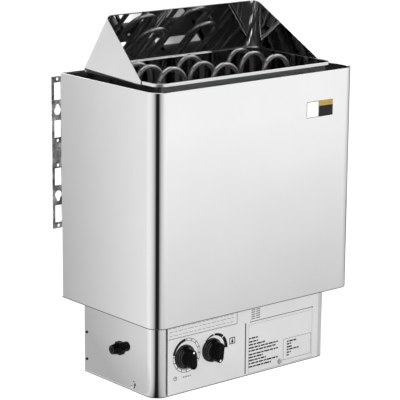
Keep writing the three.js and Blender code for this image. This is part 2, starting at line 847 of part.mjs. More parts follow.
function makeKnob(name, group) {
  const skirt = knobDiameter / 2;
  const body = skirt - knobStep;
  const neck = body - knobTaper;
  const profile = [
    [0, 0],
    [skirt, 0],
    [skirt, knobSkirt - knobEdge],
    [skirt - knobEdge, knobSkirt],
    [body, knobSkirt],
    [neck, knobHeight - knobEdge],
    [neck - knobEdge, knobHeight],
    [0, knobHeight],
  ];
  const blank = solid(turned(profile, knobFacets).rotateX(Math.PI / 2));
  const scoop = (side) => {
    const tool = alongY(pin(2 * scoopRadius, 2 * knobDiameter)).translate(0, knobDiameter, knobHeight);
    return tool.translate(side * (gripWidth / 2 + scoopRadius), 0, 0);
  };
  const bore = pin(shaftDiameter + 2 * seat, knobHeight - knobRoof + seat).translate(0, 0, -seat);
  const dotBottom = knobHeight - dotDepth - seat;
  const dotPocket = pin(dotDiameter + 2 * seat, knobHeight).translate(0, dotPlace, dotBottom);
  const knob = place(`${name}_knob`, cut(blank, scoop(-1), scoop(1), bore, dotPocket), blackPlastic, group);
  knob.position.z = knobLift;
  const dot = place(`${name}_pointer`, pin(dotDiameter, dotDepth + dotProud), whitePlastic, group);
  dot.position.set(0, dotPlace, knobLift + knobHeight - dotDepth);
  const shaftBottom = wallInside - panelFace + seat;
  const shaftTop = knobLift + knobHeight - knobRoof - seat;
  const shaft = pin(shaftDiameter, shaftBottom + shaftTop);
  place(`${name}_shaft`, shaft, satinSteel, group).position.z = -shaftBottom;
}

function makeControlBody(name, x, width, height, depth) {
  const shape = rectangle(x - width / 2, -height / 2, x + width / 2, height / 2, bodyCorner);
  const mesh = place(`${name}_body`, alongY(extrude(shape, depth)), blackPlastic);
  mesh.position.set(0, wallInside + 2 * seat + depth, controlHeight);
}

function makeControls() {
  makeKnob("timer", controlGroup(timerPlace, timerRest));
  makeKnob("thermostat", controlGroup(thermostatPlace, thermostatRest));
  makeControlBody("timer", timerPlace, timerBodySize, timerBodySize, timerBodyDepth);
  makeControlBody(
    "thermostat",
    thermostatPlace,
    thermostatBodyWidth,
    thermostatBodyHeight,
    thermostatBodyDepth,
  );
}

// Thermostat sensor: a capillary from the thermostat to a bulb clipped to the rear panel
function makeSensor() {
  const { x, y } = capillarySpot;
  const bulbPlace = rearPanelFace - seat - bulbDiameter / 2;
  const start = controlHeight + thermostatBodyHeight / 2 + seat;
  const run = railBottom + railHeight / 2;
  const corners = [
    [x, y, start],
    [x, y, run],
    [x, bulbPlace, run],
    [x, bulbPlace, bulbBottom - seat],
  ].map((point) => new THREE.Vector3(...point));
  const radii = [capillaryBend, capillaryBend];
  const tube = bentTube(corners, radii, tubeBendFacets, capillaryDiameter, capillarySides);
  place("thermostat_capillary", tube, copper);
  place("sensor_bulb", pin(bulbDiameter, bulbLength), copper).position.set(x, bulbPlace, bulbBottom);
  const arch = bulbDiameter / 2 + seat;
  const panel = rearPanelFace - seat;
  const strap = [
    [x - arch - sheet - clipTab, panel - sheet],
    [x - arch - sheet, panel - sheet],
    [x - arch - sheet, bulbPlace - arch - sheet],
    [x + arch + sheet, bulbPlace - arch - sheet],
    [x + arch + sheet, panel - sheet],
    [x + arch + sheet + clipTab, panel - sheet],
  ];
  const clip = extrude(bentSheet(strap, [sheet / 2, arch, arch, sheet / 2], sheet), clipHeight);
  place("sensor_clip", clip, galvanised).position.z = bulbBottom + (bulbLength - clipHeight) / 2;
}

// Overheat limiter on the bottom cover, with the reset button reached from below
function makeLimiter() {
  const floor = sheet + seat;
  const reachX = limiterWidth / 2;
  const reachY = limiterDepth / 2;
  const shape = rectangle(-reachX, -reachY, reachX, reachY, bodyCorner);
  shape.holes.push(circle(buttonDiameter / 2 + buttonPlay));
  const body = solid(extrude(shape, limiterHeight));
  const pocketHeight = buttonCollarHeight + buttonTravel + 2 * seat;
  const pocket = pin(buttonCollarDiameter + 2 * buttonPlay, pocketHeight + seat).translate(0, 0, -seat);
  const housing = place("limiter_body", cut(body, pocket), blackPlastic);
  housing.position.set(limiterPlaceX, limiterPlaceY, floor);
  const stem = buttonDiameter / 2;
  const collarBottom = floor + seat;
  const profile = [
    [0, buttonLift],
    [stem, buttonLift],
    [stem, collarBottom],
    [buttonCollarDiameter / 2, collarBottom],
    [buttonCollarDiameter / 2, collarBottom + buttonCollarHeight],
    [stem, collarBottom + buttonCollarHeight],
    [stem, buttonLift + buttonStem],
    [0, buttonLift + buttonStem],
  ];
  const button = turned(profile, turnedFacets).rotateX(Math.PI / 2);
  place("reset_button", button, redPlastic).position.set(limiterPlaceX, limiterPlaceY, 0);
}

// Terminal block on the bottom cover
function makeTerminalBlock() {
  const half = terminalDepth / 2;
  const ridge = terminalRidge / 2;
  const profile = new THREE.Shape(
    [
      [-half, 0],
      [half, 0],
      [half, terminalBase],
      [ridge, terminalBase],
      [ridge, terminalHeight],
      [-ridge, terminalHeight],
      [-ridge, terminalBase],
      [-half, terminalBase],
    ].map(([y, z]) => new THREE.Vector2(y, z)),
  );
  const block = alongX(extrude(profile, terminalWidth)).translate(-terminalWidth / 2, 0, 0);
  const wells = Array.from({ length: poleCount }, (_, pole) => {
    const x = (pole - (poleCount - 1) / 2) * polePitch;
    return pin(poleWell, terminalHeight).translate(x, 0, terminalHeight - poleWellDepth);
  });
  const mesh = place("terminal_block", cut(solid(block), ...wells), ceramic);
  mesh.position.set(terminalPlaceX, terminalPlaceY, sheet + seat);
}

// Cable gland: a group whose Z points out of the left side
function makeGland() {
  const gland = new THREE.Group();
  gland.position.set(-boxSide, glandPlaceY, glandHeight);
  gland.rotation.y = -Math.PI / 2;
  heater.add(gland);
  const bored = (shape, diameter, length) => {
    shape.holes.push(circle(diameter / 2));
    return extrude(shape, length);
  };
  const thread = circle(glandThread / 2);
  const inside = sheet + seat + lockNutHeight + seat;
  const nutBottom = glandNeck + glandBodyHex + seat;
  const body = join(
    bored(thread, glandBore, inside + nutBottom - seat + glandSleeve).translate(0, 0, -inside),
    bored(hexagon(glandAcross), glandBore, glandBodyHex).translate(0, 0, glandNeck),
  );
  place("gland_body", body, blackPlastic, gland);
  const lockNut = bored(hexagon(lockNutAcross), glandThread + 2 * glandPlay, lockNutHeight);
  place("gland_locknut", lockNut, blackPlastic, gland).position.z = -sheet - seat - lockNutHeight;
  const nutHeight = glandNutHex + glandDome;
  const domeProfile = [
    [0, 0],
    [glandAcross / 2, 0],
    [glandAcross / 2, glandNutHex],
    [glandDomeStart / 2, glandNutHex],
    [glandDomeEnd / 2, nutHeight],
    [0, nutHeight],
  ];
  const dome = turned(domeProfile, 2 * turnedFacets).rotateX(Math.PI / 2);
  const socketDepth = glandSleeve + seat;
  const nut = cut(
    join(extrude(hexagon(glandAcross), glandNutHex), dome),
    pin(glandThread + 2 * glandPlay, socketDepth + seat).translate(0, 0, -seat),
    pin(glandBore, nutHeight).translate(0, 0, socketDepth / 2),
  );
  place("gland_nut", nut, blackPlastic, gland).position.z = nutBottom;
  const seal = bored(circle(glandBore / 2 - seat), glandSealBore, glandSealLength);
  place("gland_seal", seal, rubber, gland).position.z = nutBottom + nutHeight - glandSealLength - seat;
}

// Wall brackets: bent strips with keyholes, screwed to the rear panel
function keyhole(x, y, towards) {
  const radius = keyholeDiameter / 2;
  const neck = keyholeNeck / 2;
  const spread = Math.asin(neck / radius);
  const up = (towards * Math.PI) / 2;
  const path = new THREE.Shape();
  path.absarc(x, y, radius, up + spread, up + 2 * Math.PI - spread);
  path.absarc(x, y + towards * keyholeNeckLength, neck, up - Math.PI / 2, up + Math.PI / 2);
  return path;
}

function bracketSlot(x, y) {
  const reachX = bracketSlotWidth / 2;
  const reachY = bracketSlotLength / 2;
  return rectangle(x - reachX, y - reachY, x + reachX, y + reachY, 0);
}

function bracketCutters(x) {
  const shapes = [-1, 1].flatMap((half) => [
    circle(bracketHole / 2, x, half * innerHolePlace, 2 * holeFacets),
    circle(bracketHole / 2, x, half * outerHolePlace, 2 * holeFacets),
    bracketSlot(x, half * innerSlotPlace),
    bracketSlot(x, half * outerSlotPlace),
    keyhole(x, half * keyholePlace, half),
  ]);
  const depth = 2 * bracketBend;
  return shapes.map((shape) => alongY(extrude(shape, depth, holeFacets)));
}

function makeBracket(name, side) {
  const wall = casingRear + standOff;
  const outer = side * (casingSide - bracketInset);
  const web = outer - side * bracketFlange;
  const foot = web - side * bracketFoot;
  const footRear = rearPanelBack + seat + heavySheet;
  const corners = [
    [outer, wall],
    [web, wall],
    [web, footRear],
    [foot, footRear],
  ];
  const outline = bentSheet(corners, [bracketBend, bracketBend], side * heavySheet);
  const strip = extrude(outline, bracketLength).translate(0, 0, bracketCentre - bracketLength / 2);
  const holes = bracketCutters(outer - (side * bracketFlange) / 2).map((tool) => {
    return tool.translate(0, wall + bracketBend / 2, bracketCentre);
  });
  const spots = bracketScrewSpots.filter(([x]) => Math.sign(x) === side);
  spots.forEach(([x, z]) => holes.push(drillY(screwHole, x, footRear, z)));
  place(`wall_bracket_${name}`, cut(solid(strip), ...holes), galvanised);
  spots.forEach(([x, z], index) => {
    const level = ["lower", "upper"][index];
    screw(`bracket_screw_${name}_${level}`, satinSteel, [x, footRear, z], toRear);
  });
}

// Spacers: channels that hold the casing's sides off the stone box
function makeSpacer(name, side) {
  const outer = side * (casingSide - sheet - seat);
  const inner = side * (stoneSide - sheet + seat);
  const top = casingTop - spacerTop;
  const bottom = top - spacerHeight;
  const corners = [
    [outer, top],
    [outer, bottom],
    [inner, bottom],
    [inner, top],
  ];
  const outline = bentSheet(corners, [spacerBend, spacerBend], -side * sheet);
  const spacer = alongY(extrude(outline, spacerLength));
  place(`spacer_${name}`, spacer, galvanised).position.y = stoneRear - spacerPlace + spacerLength / 2;
}

makeCasing();
makeRearPanel();
makeCarrier();
makeRails();
makeStoneBox();
makeGrate();
makeReflector();
Object.entries(elementPlaces).forEach(([name, x]) => makeElement(name, x));
makeBushings();
makeJunctionBox();
makeRearWall();
makeBottomCover();
makeFrontPanel();
makeControls();
makeSensor();
makeLimiter();
makeTerminalBlock();
makeGland();
for (const [name, side] of [["left", -1], ["right", 1]]) {
  makeBracket(name, side);
  makeSpacer(name, side);
}

export default heater;
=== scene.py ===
"""Wall-hung sauna heater: polished sheet, loop elements, a leaning reflector and a control box."""

import json
from math import asin, atan2, cos, pi, radians, sin

import bmesh
import bpy
from bmesh.types import BMEdge, BMFace, BMVert
from bpy.props import FloatProperty, FloatVectorProperty, IntProperty, PointerProperty
from bpy.types import Node, NodeSocket, Operator, Panel, PropertyGroup
from mathutils import Matrix, Vector


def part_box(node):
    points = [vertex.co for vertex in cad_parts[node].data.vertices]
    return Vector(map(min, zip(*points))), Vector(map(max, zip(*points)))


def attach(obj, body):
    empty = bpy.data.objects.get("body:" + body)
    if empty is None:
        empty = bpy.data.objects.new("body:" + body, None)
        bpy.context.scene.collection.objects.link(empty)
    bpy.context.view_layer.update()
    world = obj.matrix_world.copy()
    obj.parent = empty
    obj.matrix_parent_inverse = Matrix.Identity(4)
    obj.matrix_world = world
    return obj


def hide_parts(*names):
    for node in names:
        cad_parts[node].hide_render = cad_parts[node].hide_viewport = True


bl_info = {
    "name": "Sauna Heater",
    "version": (1, 0, 0),
    "blender": (4, 5, 0),
    "location": "View3D > Sidebar > Heater",
    "description": "Builds the finish of a wall-hung electric sauna heater round its frame",
    "category": "Object",
}

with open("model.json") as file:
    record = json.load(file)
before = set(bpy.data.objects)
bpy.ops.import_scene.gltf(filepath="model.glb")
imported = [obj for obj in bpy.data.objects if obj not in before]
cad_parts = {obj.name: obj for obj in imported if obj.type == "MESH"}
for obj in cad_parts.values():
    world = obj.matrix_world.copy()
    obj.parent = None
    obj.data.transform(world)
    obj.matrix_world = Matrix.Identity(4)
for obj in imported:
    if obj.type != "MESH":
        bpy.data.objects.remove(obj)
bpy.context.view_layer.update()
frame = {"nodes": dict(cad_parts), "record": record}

MM = 0.001
NEAR = 1e-5  # Places closer than this count as one
MERGE = 1e-6  # Vertices closer than this are merged
PROUD = 0.08 * MM  # How far hems and linings stand off their sheet
QUARTER = pi / 2
NODE_SPACING = 200
ROOT = "heater"
UP = Vector((0, 0, 1))
LEFT = Vector((-1, 0, 0))
RIGHT = Vector((1, 0, 0))
FRONT = Vector((0, -1, 0))
REAR = Vector((0, 1, 0))

# Parts deep in the stone box that get the darkened dull steel: dull, and partly painted shade
DULL_SHADED_NODES = ("stone_grate", "spacer_left", "spacer_right")
SLOTS = {part["node"]: part["material_slot"] for part in frame["record"]["subparts"]}
CASING_LOW, CASING_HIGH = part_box("outer_casing")
STONE_LOW, STONE_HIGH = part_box("stone_box")
HOOD_LOW, HOOD_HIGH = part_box("heat_reflector")
BOX_LOW, BOX_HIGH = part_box("junction_box")
PANEL_LOW, PANEL_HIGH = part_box("front_panel")


# Settings


def length(name, description, size):
    """A size in millimetres that a user can change."""
    return FloatProperty(
        name=name, description=description, default=size * MM, unit="LENGTH", precision=5
    )


def rises(name, description, *heights):
    """Heights of the front, middle and rear loop of one element, in millimetres."""
    default = tuple(height * MM for height in heights)
    return FloatVectorProperty(
        name=name, description=description, default=default, size=3, unit="LENGTH"
    )


def count(name, description, default, least):
    """A number of faces that a user can change."""
    return IntProperty(name=name, description=description, default=default, min=least)


def angle(name, description, default):
    """A turn that a user can change."""
    return FloatProperty(name=name, description=description, default=default, subtype="ANGLE")


def spot(name, description, default):
    """A place that a user can change."""
    return FloatVectorProperty(
        name=name, description=description, default=default, subtype="TRANSLATION"
    )


def rgb(*levels):
    """An opaque colour from one grey level, or from red, green and blue."""
    return (*(levels * (3 // len(levels))), 1.0)


def colour(name, description, *levels):
    """A finish colour that a user can change."""
    return FloatVectorProperty(
        name=name, description=description, default=rgb(*levels), size=4, subtype="COLOR",
        min=0, max=1,
    )


class SheetSettings(PropertyGroup):
    """Sizes of the folded sheets."""

    thickness: length("Sheet", "Thickness of the folded sheet", 1)
    edge: length("Edge", "Rounding of the cut edges", 0.25)
    casing_bend: length("Casing bend", "Radius of the casing's front corners", 23)
    casing_return: length("Casing return", "Width of the folds behind the casing", 16)
    return_bend: length("Return bend", "Radius of the folds behind the casing", 3)
    box_bend: length("Box bend", "Radius of the lower box's front corners", 21)
    stone_bend: length("Stone box bend", "Radius of the stone box's corners", 20)
    rim_height: length("Rim", "Height of the doubled rim", 5)
    rim_taper: length("Rim taper", "How far the rim draws in at its top", 0.6)
    hem: length("Hem", "Height of the hems along the lower edges", 1.2)
    lip: length("Lip", "Width of the casing's turned-in upper edge", 2.4)
    ledge: length("Ledge", "Width of the ledge under the grate", 12)
    bend_steps: count("Bend steps", "Faces in a quarter bend", 28, 4)


class HoodSettings(PropertyGroup):
    """Sizes of the leaning reflector."""

    fold: length("Fold", "Height of the fold above the rim", 0.5)
    front_skirt: length("Front skirt", "Drop of the skirt below the rim at the front", 7)
    rear_skirt: length("Rear skirt", "Drop of the skirt below the rim at the rear", 1)
    top_width: length("Top width", "Width along the top edge", 314)
    lean: length("Lean", "How far the back leans forward", 36)
    low_bend: length("Lower bend", "Radius of the rear corners at the fold", 21.3)
    top_bend: length("Upper bend", "Radius of the rear corners along the top", 11)
    # These set the slanted line below which the skirt's sides get painted shade
    shade_front: length("Front shade", "Depth of the dull skirt's start below the rim, front", 5.2)
    shade_rear: length("Rear shade", "Height of the dull skirt's start above the rim, rear", 1.2)


class ElementSettings(PropertyGroup):
    """Sizes of the tubular elements."""

    tube: length("Tube", "Outer diameter of the tube", 8)
    low_bend: length("Lower bend", "Radius of the bends near the grate", 14)
    low_height: length("Lower height", "Height of the lower bends above the grate", 16)
    front_row: length("Front row", "Place of the front row of loops", -37.5)
    middle_row: length("Middle row", "Place of the middle row of loops", 17.5)
    rear_row: length("Rear row", "Place of the rear row of loops", 49.5)
    terminal: length("Terminal", "Diameter of the terminal rods", 4)
    terminal_length: length("Terminal length", "Free length of the terminal rods", 12)
    left_rise: rises("Left", "Loop tops of the left element above the rim", 13, 9, 9)
    middle_rise: rises("Middle", "Loop tops of the middle element above the rim", 9, 4, 10)
    right_rise: rises("Right", "Loop tops of the right element above the rim", 12, 10, 11)
    sides: count("Sides", "Faces round the tube", 24, 6)


class BracketSettings(PropertyGroup):
    """Sizes of the wall brackets."""

    thickness: length("Sheet", "Thickness of the strip", 1.5)
    flange: length("Flange", "Width of the strip on the wall", 23)
    bend: length("Bend", "Radius of the strip's bends", 3)
    line: length("Hole line", "Place of the holes from the outer edge", 11)
    hole: length("Hole", "Diameter of the round holes", 5)
    slot_width: length("Slot width", "Width of the slots", 13)
    slot_length: length("Slot length", "Height of the slots", 28)
    keyhole: length("Keyhole", "Diameter of the keyholes", 13)
    neck: length("Neck", "Width of the keyholes' necks", 7.5)
    neck_length: length("Neck length", "Rise of a neck's end above its keyhole", 7)


class ControlSettings(PropertyGroup):
    """Sizes of the knobs and of the print round them."""

    skirt: length("Skirt", "Height of the knob's skirt", 5)
    grip: length("Grip", "Width of the knob's grip", 13)
    timer_ring: length("Timer ring", "Outer radius of the timer's scale", 27.8)
    timer_band: length("Timer band", "Width of the timer's scale", 4.6)
    thermostat_arc: length("Thermostat arc", "Inner radius of the thermostat's scale", 22)
    ink: length("Ink", "Height of the print above the panel", 0.06)


class FinishSettings(PropertyGroup):
    """Colours of the finishes."""

    steel: colour("Polished steel", "Casing, box, rim and reflector", 0.866)
    satin: colour("Satin steel", "Rear sheets and bright screws", 0.62, 0.63, 0.64)
    zinc: colour("Zinc", "Galvanised brackets and rails", 0.61, 0.612, 0.615)
    tube: colour("Tube", "Heating elements", 0.30, 0.295, 0.29)
    panel: colour("Panel", "Printed front panel", 0.94)
    ink: colour("Ink", "Print on the panel", 0.004)
    grey_ink: colour("Grey ink", "Fine print on the panel", 0.06)
    black: colour("Black plastic", "Knobs and gland", 0.0025)
    gold: colour("Gold", "Band on the blank plate", 0.38, 0.26, 0.04)


class StageSettings(PropertyGroup):
    """Camera, floor and lights."""

    eye: spot("Eye", "Place of the camera", (-1.9184, -2.2586, 0.9850))
    yaw: angle("Yaw", "Turn of the view", radians(40.08))
    pitch: angle("Pitch", "Downward tilt", radians(13.494))
    roll: angle("Roll", "Roll of the view", radians(0.45))
    lens: FloatProperty(name="Lens", description="Focal length in millimetres", default=170.73)
    floor: colour("Floor", "Pale floor", 0.93)
    corner: spot("Corner", "Foot of the dark line on the floor", (-0.1605, -0.07, 0.0))
    wedge: angle("Wedge", "Turn of the dark line", 2.36)


class HeaterSettings(PropertyGroup):
    """All settings of the heater."""

    sheet: PointerProperty(type=SheetSettings)
    hood: PointerProperty(type=HoodSettings)
    element: PointerProperty(type=ElementSettings)
    bracket: PointerProperty(type=BracketSettings)
    control: PointerProperty(type=ControlSettings)
    finish: PointerProperty(type=FinishSettings)
    stage: PointerProperty(type=StageSettings)


# Shader nodes


def out(feed):
    """The socket that a node feeds others with, or the socket itself."""
    return feed.outputs[0] if isinstance(feed, Node) else feed


def add_node(tree, kind, *feeds, **settings):
    """Adds a node. Feeds fill its sockets in order, and capitalised settings fill them by name.

    Nodes and sockets are linked, and other values are set. Lower-case settings are the node's own.
    """
    made = tree.nodes.new(f"ShaderNode{kind}")
    made.location = (NODE_SPACING * len(tree.nodes), 0)
    sockets = dict(enumerate(feeds))
    for name, value in settings.items():
        if name.islower():
            setattr(made, name, value)
        else:
            sockets[name.replace("_", " ")] = value
    for key, value in sockets.items():
        if isinstance(value, (Node, NodeSocket)):
            tree.links.new(out(value), made.inputs[key])
        else:
            made.inputs[key].default_value = value
    return made


def calculate(tree, operation, *feeds):
    return add_node(tree, "Math", *feeds, operation=operation)


def remap(tree, value, start, end, low=0.0, high=1.0):
    """Maps a value from the span of start and end to that of low and high."""
    return add_node(
        tree, "MapRange", Value=value, From_Min=start, From_Max=end, To_Min=low, To_Max=high
    )


def blend(tree, share, first, second, data_type="RGBA", blend_type="MIX"):
    """The mix of two colours or values by a share."""
    made = add_node(
        tree, "Mix", data_type=data_type, blend_type=blend_type, Factor=share, A=first, B=second
    )
    return made.outputs["Result"]


def grey_ramp(tree, value, *stops):
    """A ramp of greys over a value, given as pairs of position and level."""
    ramp = add_node(tree, "ValToRGB", value)
    elements = ramp.color_ramp.elements
    while len(elements) < len(stops):
        elements.new(0.5)
    for element, (at, grey) in zip(elements, stops):
        element.position = at
        element.color = rgb(grey)
    return ramp


def bearing(tree, vector, turn):
    """How far a direction turns away from a bearing, as a share of half a circle."""
    turned = add_node(tree, "VectorRotate", rotation_type="Z_AXIS", Vector=vector, Angle=turn)
    split = add_node(tree, "SeparateXYZ", turned).outputs
    away = calculate(tree, "ARCTAN2", split["Y"], split["X"])
    return calculate(tree, "DIVIDE", calculate(tree, "ABSOLUTE", away), pi)


def bare_tree(owner):
    """The emptied node tree of a material or world."""
    owner.use_nodes = True
    owner.node_tree.nodes.clear()
    return owner.node_tree


def show_by_ray(tree, output, plain, mirrored, seen):
    """Ends a tree with a shader for plain light, one for mirrors and one for the camera."""
    path = add_node(tree, "LightPath").outputs
    shader = add_node(tree, "MixShader", path["Is Glossy Ray"], plain, mirrored)
    shader = add_node(tree, "MixShader", path["Is Camera Ray"], shader, seen)
    add_node(tree, output, Surface=shader)


# Node groups: each function adds a group's nodes and gives its outputs by name


def rolled_grain(tree, place, given):
    """Fine lines left by rolling: a mask and a height."""
    stretched = add_node(tree, "Mapping", Vector=place, Scale=given["Stretch"])
    grain = add_node(
        tree, "TexNoise", Vector=stretched, Scale=1.0, Detail=given["Detail"], Roughness=0.6
    )
    return {"Mask": remap(tree, grain, 0.35, 0.65), "Height": grain}


def cloudy_tint(tree, place, given):
    """Two colours mixed by soft clouds, with the clouds as a mask."""
    clouds = add_node(
        tree, "TexNoise", Vector=place, Scale=given["Scale"], Detail=4.0, Roughness=0.55
    )
    low = calculate(tree, "SUBTRACT", 0.5, given["Contrast"])
    high = calculate(tree, "ADD", 0.5, given["Contrast"])
    mask = remap(tree, clouds, low, high)
    return {"Color": blend(tree, mask, given["Dark"], given["Light"]), "Mask": mask}


def fine_pores(tree, place, given):
    """Fine uneven skin of a moulding or a dull metal: a height."""
    skin = add_node(
        tree, "TexNoise", Vector=place, Scale=given["Scale"], Detail=2.0, Roughness=0.5
    )
    return {"Height": skin}


def zinc_spangle(tree, place, given):
    """Crystal patches of a zinc coat: a mask that steps from patch to patch."""
    warp = add_node(tree, "TexNoise", Vector=place, Scale=60.0, Detail=3.0).outputs["Color"]
    reach = Vector.Fill(3, 0.012)
    shifted = add_node(tree, "VectorMath", warp, reach, place, operation="MULTIPLY_ADD")
    patches = add_node(tree, "TexVoronoi", feature="F1", Vector=shifted, Scale=given["Scale"])
    return {"Mask": add_node(tree, "SeparateColor", patches.outputs["Color"])}


def front_share(tree, place, given):
    """How far a place lies towards the front, between two depths."""
    depth = add_node(tree, "SeparateXYZ", place).outputs["Y"]
    return {"Share": remap(tree, depth, given["Start"], given["End"])}


GROUP_INPUTS = {
    rolled_grain: {"Stretch": (40, 40, 900), "Detail": 3.0},
    cloudy_tint: {"Light": rgb(0.8), "Dark": rgb(0.6), "Scale": 8.0, "Contrast": 0.3},
    fine_pores: {"Scale": 900.0},
    zinc_spangle: {"Scale": 120.0},
    front_share: {"Start": 0.0, "End": -0.1},
}
GROUPS = {}
FINISHES = {}


def socket_kind(default):
    """The type of a group's input, from its default."""
    if isinstance(default, float):
        return "NodeSocketFloat"
    return "NodeSocketVector" if len(default) == 3 else "NodeSocketColor"


def make_group(fill, inputs):
    """A shader node group with named sockets, on Object coordinates."""
    tree = bpy.data.node_groups.new(fill.__name__, "ShaderNodeTree")
    sockets = tree.interface
    for label, default in inputs.items():
        kind = socket_kind(default)
        sockets.new_socket(label, in_out="INPUT", socket_type=kind).default_value = default
    given = tree.nodes.new("NodeGroupInput").outputs
    place = add_node(tree, "TexCoord").outputs["Object"]
    made = fill(tree, place, given)
    for label in made:
        kind = "NodeSocketColor" if label == "Color" else "NodeSocketFloat"
        sockets.new_socket(label, in_out="OUTPUT", socket_type=kind)
    sink = tree.nodes.new("NodeGroupOutput")
    sink.location = (NODE_SPACING * len(tree.nodes), 0)
    for label, feed in made.items():
        tree.links.new(out(feed), sink.inputs[label])
    return tree


# Materials


class Finish:
    """A material with one Principled shader, and calls that feed its sockets."""

    def __init__(self, name, **sockets):
        material = bpy.data.materials.new(name)
        material.use_nodes = True
        self.tree = material.node_tree
        self.shader = self.tree.nodes["Principled BSDF"]
        for label, value in sockets.items():
            self.shader.inputs[label.replace("_", " ")].default_value = value
        FINISHES[name] = material

    def feed(self, label, source):
        self.tree.links.new(out(source), self.shader.inputs[label])

    def group(self, name, **values):
        """Places a node group and gives its outputs."""
        return add_node(self.tree, "Group", node_tree=GROUPS[name], **values).outputs

    def tint(self, light, dark, scale, contrast=0.3):
        """Colours the finish by soft clouds and gives their mask."""
        clouds = self.group(
            "cloudy_tint", Light=light, Dark=dark, Scale=scale, Contrast=contrast
        )
        self.feed("Base Color", clouds["Color"])
        return clouds["Mask"]

    def roughness(self, mask, low, high):
        self.feed("Roughness", remap(self.tree, mask, 0.0, 1.0, low, high))

    def rolled(self, low, high, stretch=(30, 30, 700)):
        """Lets the lines left by rolling change the gloss."""
        self.roughness(self.group("rolled_grain", Stretch=stretch)["Mask"], low, high)

    def bump(self, height, strength, distance):
        bump = add_node(self.tree, "Bump", Height=height, Strength=strength, Distance=distance)
        self.feed("Normal", bump)


def shade(value, factor):
    """A colour made darker or lighter by a factor."""
    return rgb(*(min(1.0, part * factor) for part in value[:3]))


def polished_steel(name, base, low, high, wave):
    """Polished sheet: faint clouds, rolling lines in the gloss and a slight wave."""
    steel = Finish(name, Metallic=1.0)
    clouds = steel.tint(base, shade(base, 0.95), 9.0)
    steel.rolled(low, high)
    steel.bump(clouds, wave, 1 * MM)


def cloudy_finish(name, base, dark, scale, low, high, contrast=0.3, pores=None, **sockets):
    """A finish with soft clouds in its colour and gloss, and fine pores where they are given."""
    made = Finish(name, **sockets)
    made.roughness(made.tint(base, shade(base, dark), scale, contrast), low, high)
    if pores:
        fineness, strength, depth = pores
        made.bump(made.group("fine_pores", Scale=fineness)["Height"], strength, depth * MM)


def make_casing_inside(satin):
    """Dull sheet with painted light: it is lighter on the front wall of the casing than on its
    sides.
    """
    inside = Finish("casing_inside", Metallic=1.0)
    # Painted light: the mask makes the front wall lighter than the sides
    ahead = inside.group("front_share", Start=-0.1175, End=-0.1199)["Share"]
    inside.feed("Base Color", blend(inside.tree, ahead, shade(satin, 0.18), shade(satin, 0.7)))
    inside.rolled(0.45, 0.6)


def make_galvanised(base):
    """Zinc with cloudy patches, crystals in the gloss and an uneven coat."""
    zinc = Finish("galvanised_steel", Metallic=0.75)
    crystals = zinc.group("zinc_spangle", Scale=110.0)["Mask"]
    clouds = zinc.tint(shade(base, 1.35), shade(base, 0.15), 46.0, 0.15)
    zinc.roughness(crystals, 0.15, 0.42)
    zinc.bump(clouds, 0.25, 0.4 * MM)


def make_panel(base):
    """Smooth silver sheet of the front panel."""
    panel = Finish("printed_panel", Metallic=0.8)
    panel.tint(base, shade(base, 0.96), 14.0)
    panel.rolled(0.30, 0.40, stretch=(25, 25, 1500))


def make_finishes(colours):
    """Builds the node groups once and every material of the heater."""
    for fill, inputs in GROUP_INPUTS.items():
        GROUPS[fill.__name__] = make_group(fill, inputs)
    satin = colours.satin
    # Name, colour, lowest and highest roughness, strength of the wave
    polished_steel("mirror_steel", colours.steel, 0.01, 0.025, 0.008)
    # A darkened copy of the satin sheet: dull, and painted shade on the faces it lines
    polished_steel("dull_shaded_steel", shade(satin, 0.2), 0.45, 0.6, 0.02)
    polished_steel("satin_steel", satin, 0.28, 0.40, 0.02)
    polished_steel("shaded_edge", shade(satin, 0.3), 0.4, 0.55, 0.02)
    make_casing_inside(satin)
    make_galvanised(colours.zinc)
    make_panel(colours.panel)
    # Name, colour, factor of the dark clouds, scale, lowest and highest roughness
    cloudy_finish(
        "element_steel", shade(colours.tube, 1.1), 0.85 / 1.1, 160.0, 0.16, 0.24,
        pores=(1400.0, 0.2, 0.1), Metallic=0.88,
    )
    cloudy_finish(
        "panel_ink", colours.ink, 3.0, 300.0, 0.45, 0.6, contrast=0.2, Specular_IOR_Level=0.1
    )
    cloudy_finish("grey_ink", colours.grey_ink, 1.6, 260.0, 0.45, 0.6, contrast=0.2)
    cloudy_finish("black_steel", rgb(0.03, 0.03, 0.032), 0.7, 90.0, 0.3, 0.45, Metallic=1.0)
    cloudy_finish("copper", rgb(0.62, 0.33, 0.18), 0.7, 90.0, 0.25, 0.4, Metallic=1.0)
    for name, base in (
        ("plate_white", rgb(0.82)),
        ("plate_gold", colours.gold),
        ("plate_dark", rgb(0.009)),
    ):
        cloudy_finish(name, base, 0.9, 60.0, 0.28, 0.4, Specular_IOR_Level=0.2)
    for name, base, low, high, pore, shine in (
        ("black_plastic", colours.black, 0.22, 0.32, 0.08, 0.07),
        # A lighter black for the knobs' slopes: a painted sheen
        ("painted_sheen_plastic", rgb(0.03), 0.3, 0.4, 0.08, 0.2),
        ("black_rubber", rgb(0.02), 0.6, 0.75, 0.3, 0.2),
        ("white_plastic", rgb(0.88, 0.88, 0.86), 0.35, 0.5, 0.1, 0.2),
        ("red_plastic", rgb(0.55, 0.03, 0.02), 0.25, 0.35, 0.1, 0.4),
        ("cream_ceramic", rgb(0.78, 0.73, 0.62), 0.4, 0.6, 0.3, 0.3),
    ):
        skin = (1800.0, pore, 0.05)
        cloudy_finish(name, base, 0.8, 120.0, low, high, pores=skin, Specular_IOR_Level=shine)


# Modelling helpers


def of_kind(items, kind):
    return [item for item in items if isinstance(item, kind)]


def verts_of(result):
    return of_kind(result["geom"], BMVert)


def edges_of(result):
    return of_kind(result["geom"], BMEdge)


def all_geom(bm):
    return bm.verts[:] + bm.edges[:] + bm.faces[:]


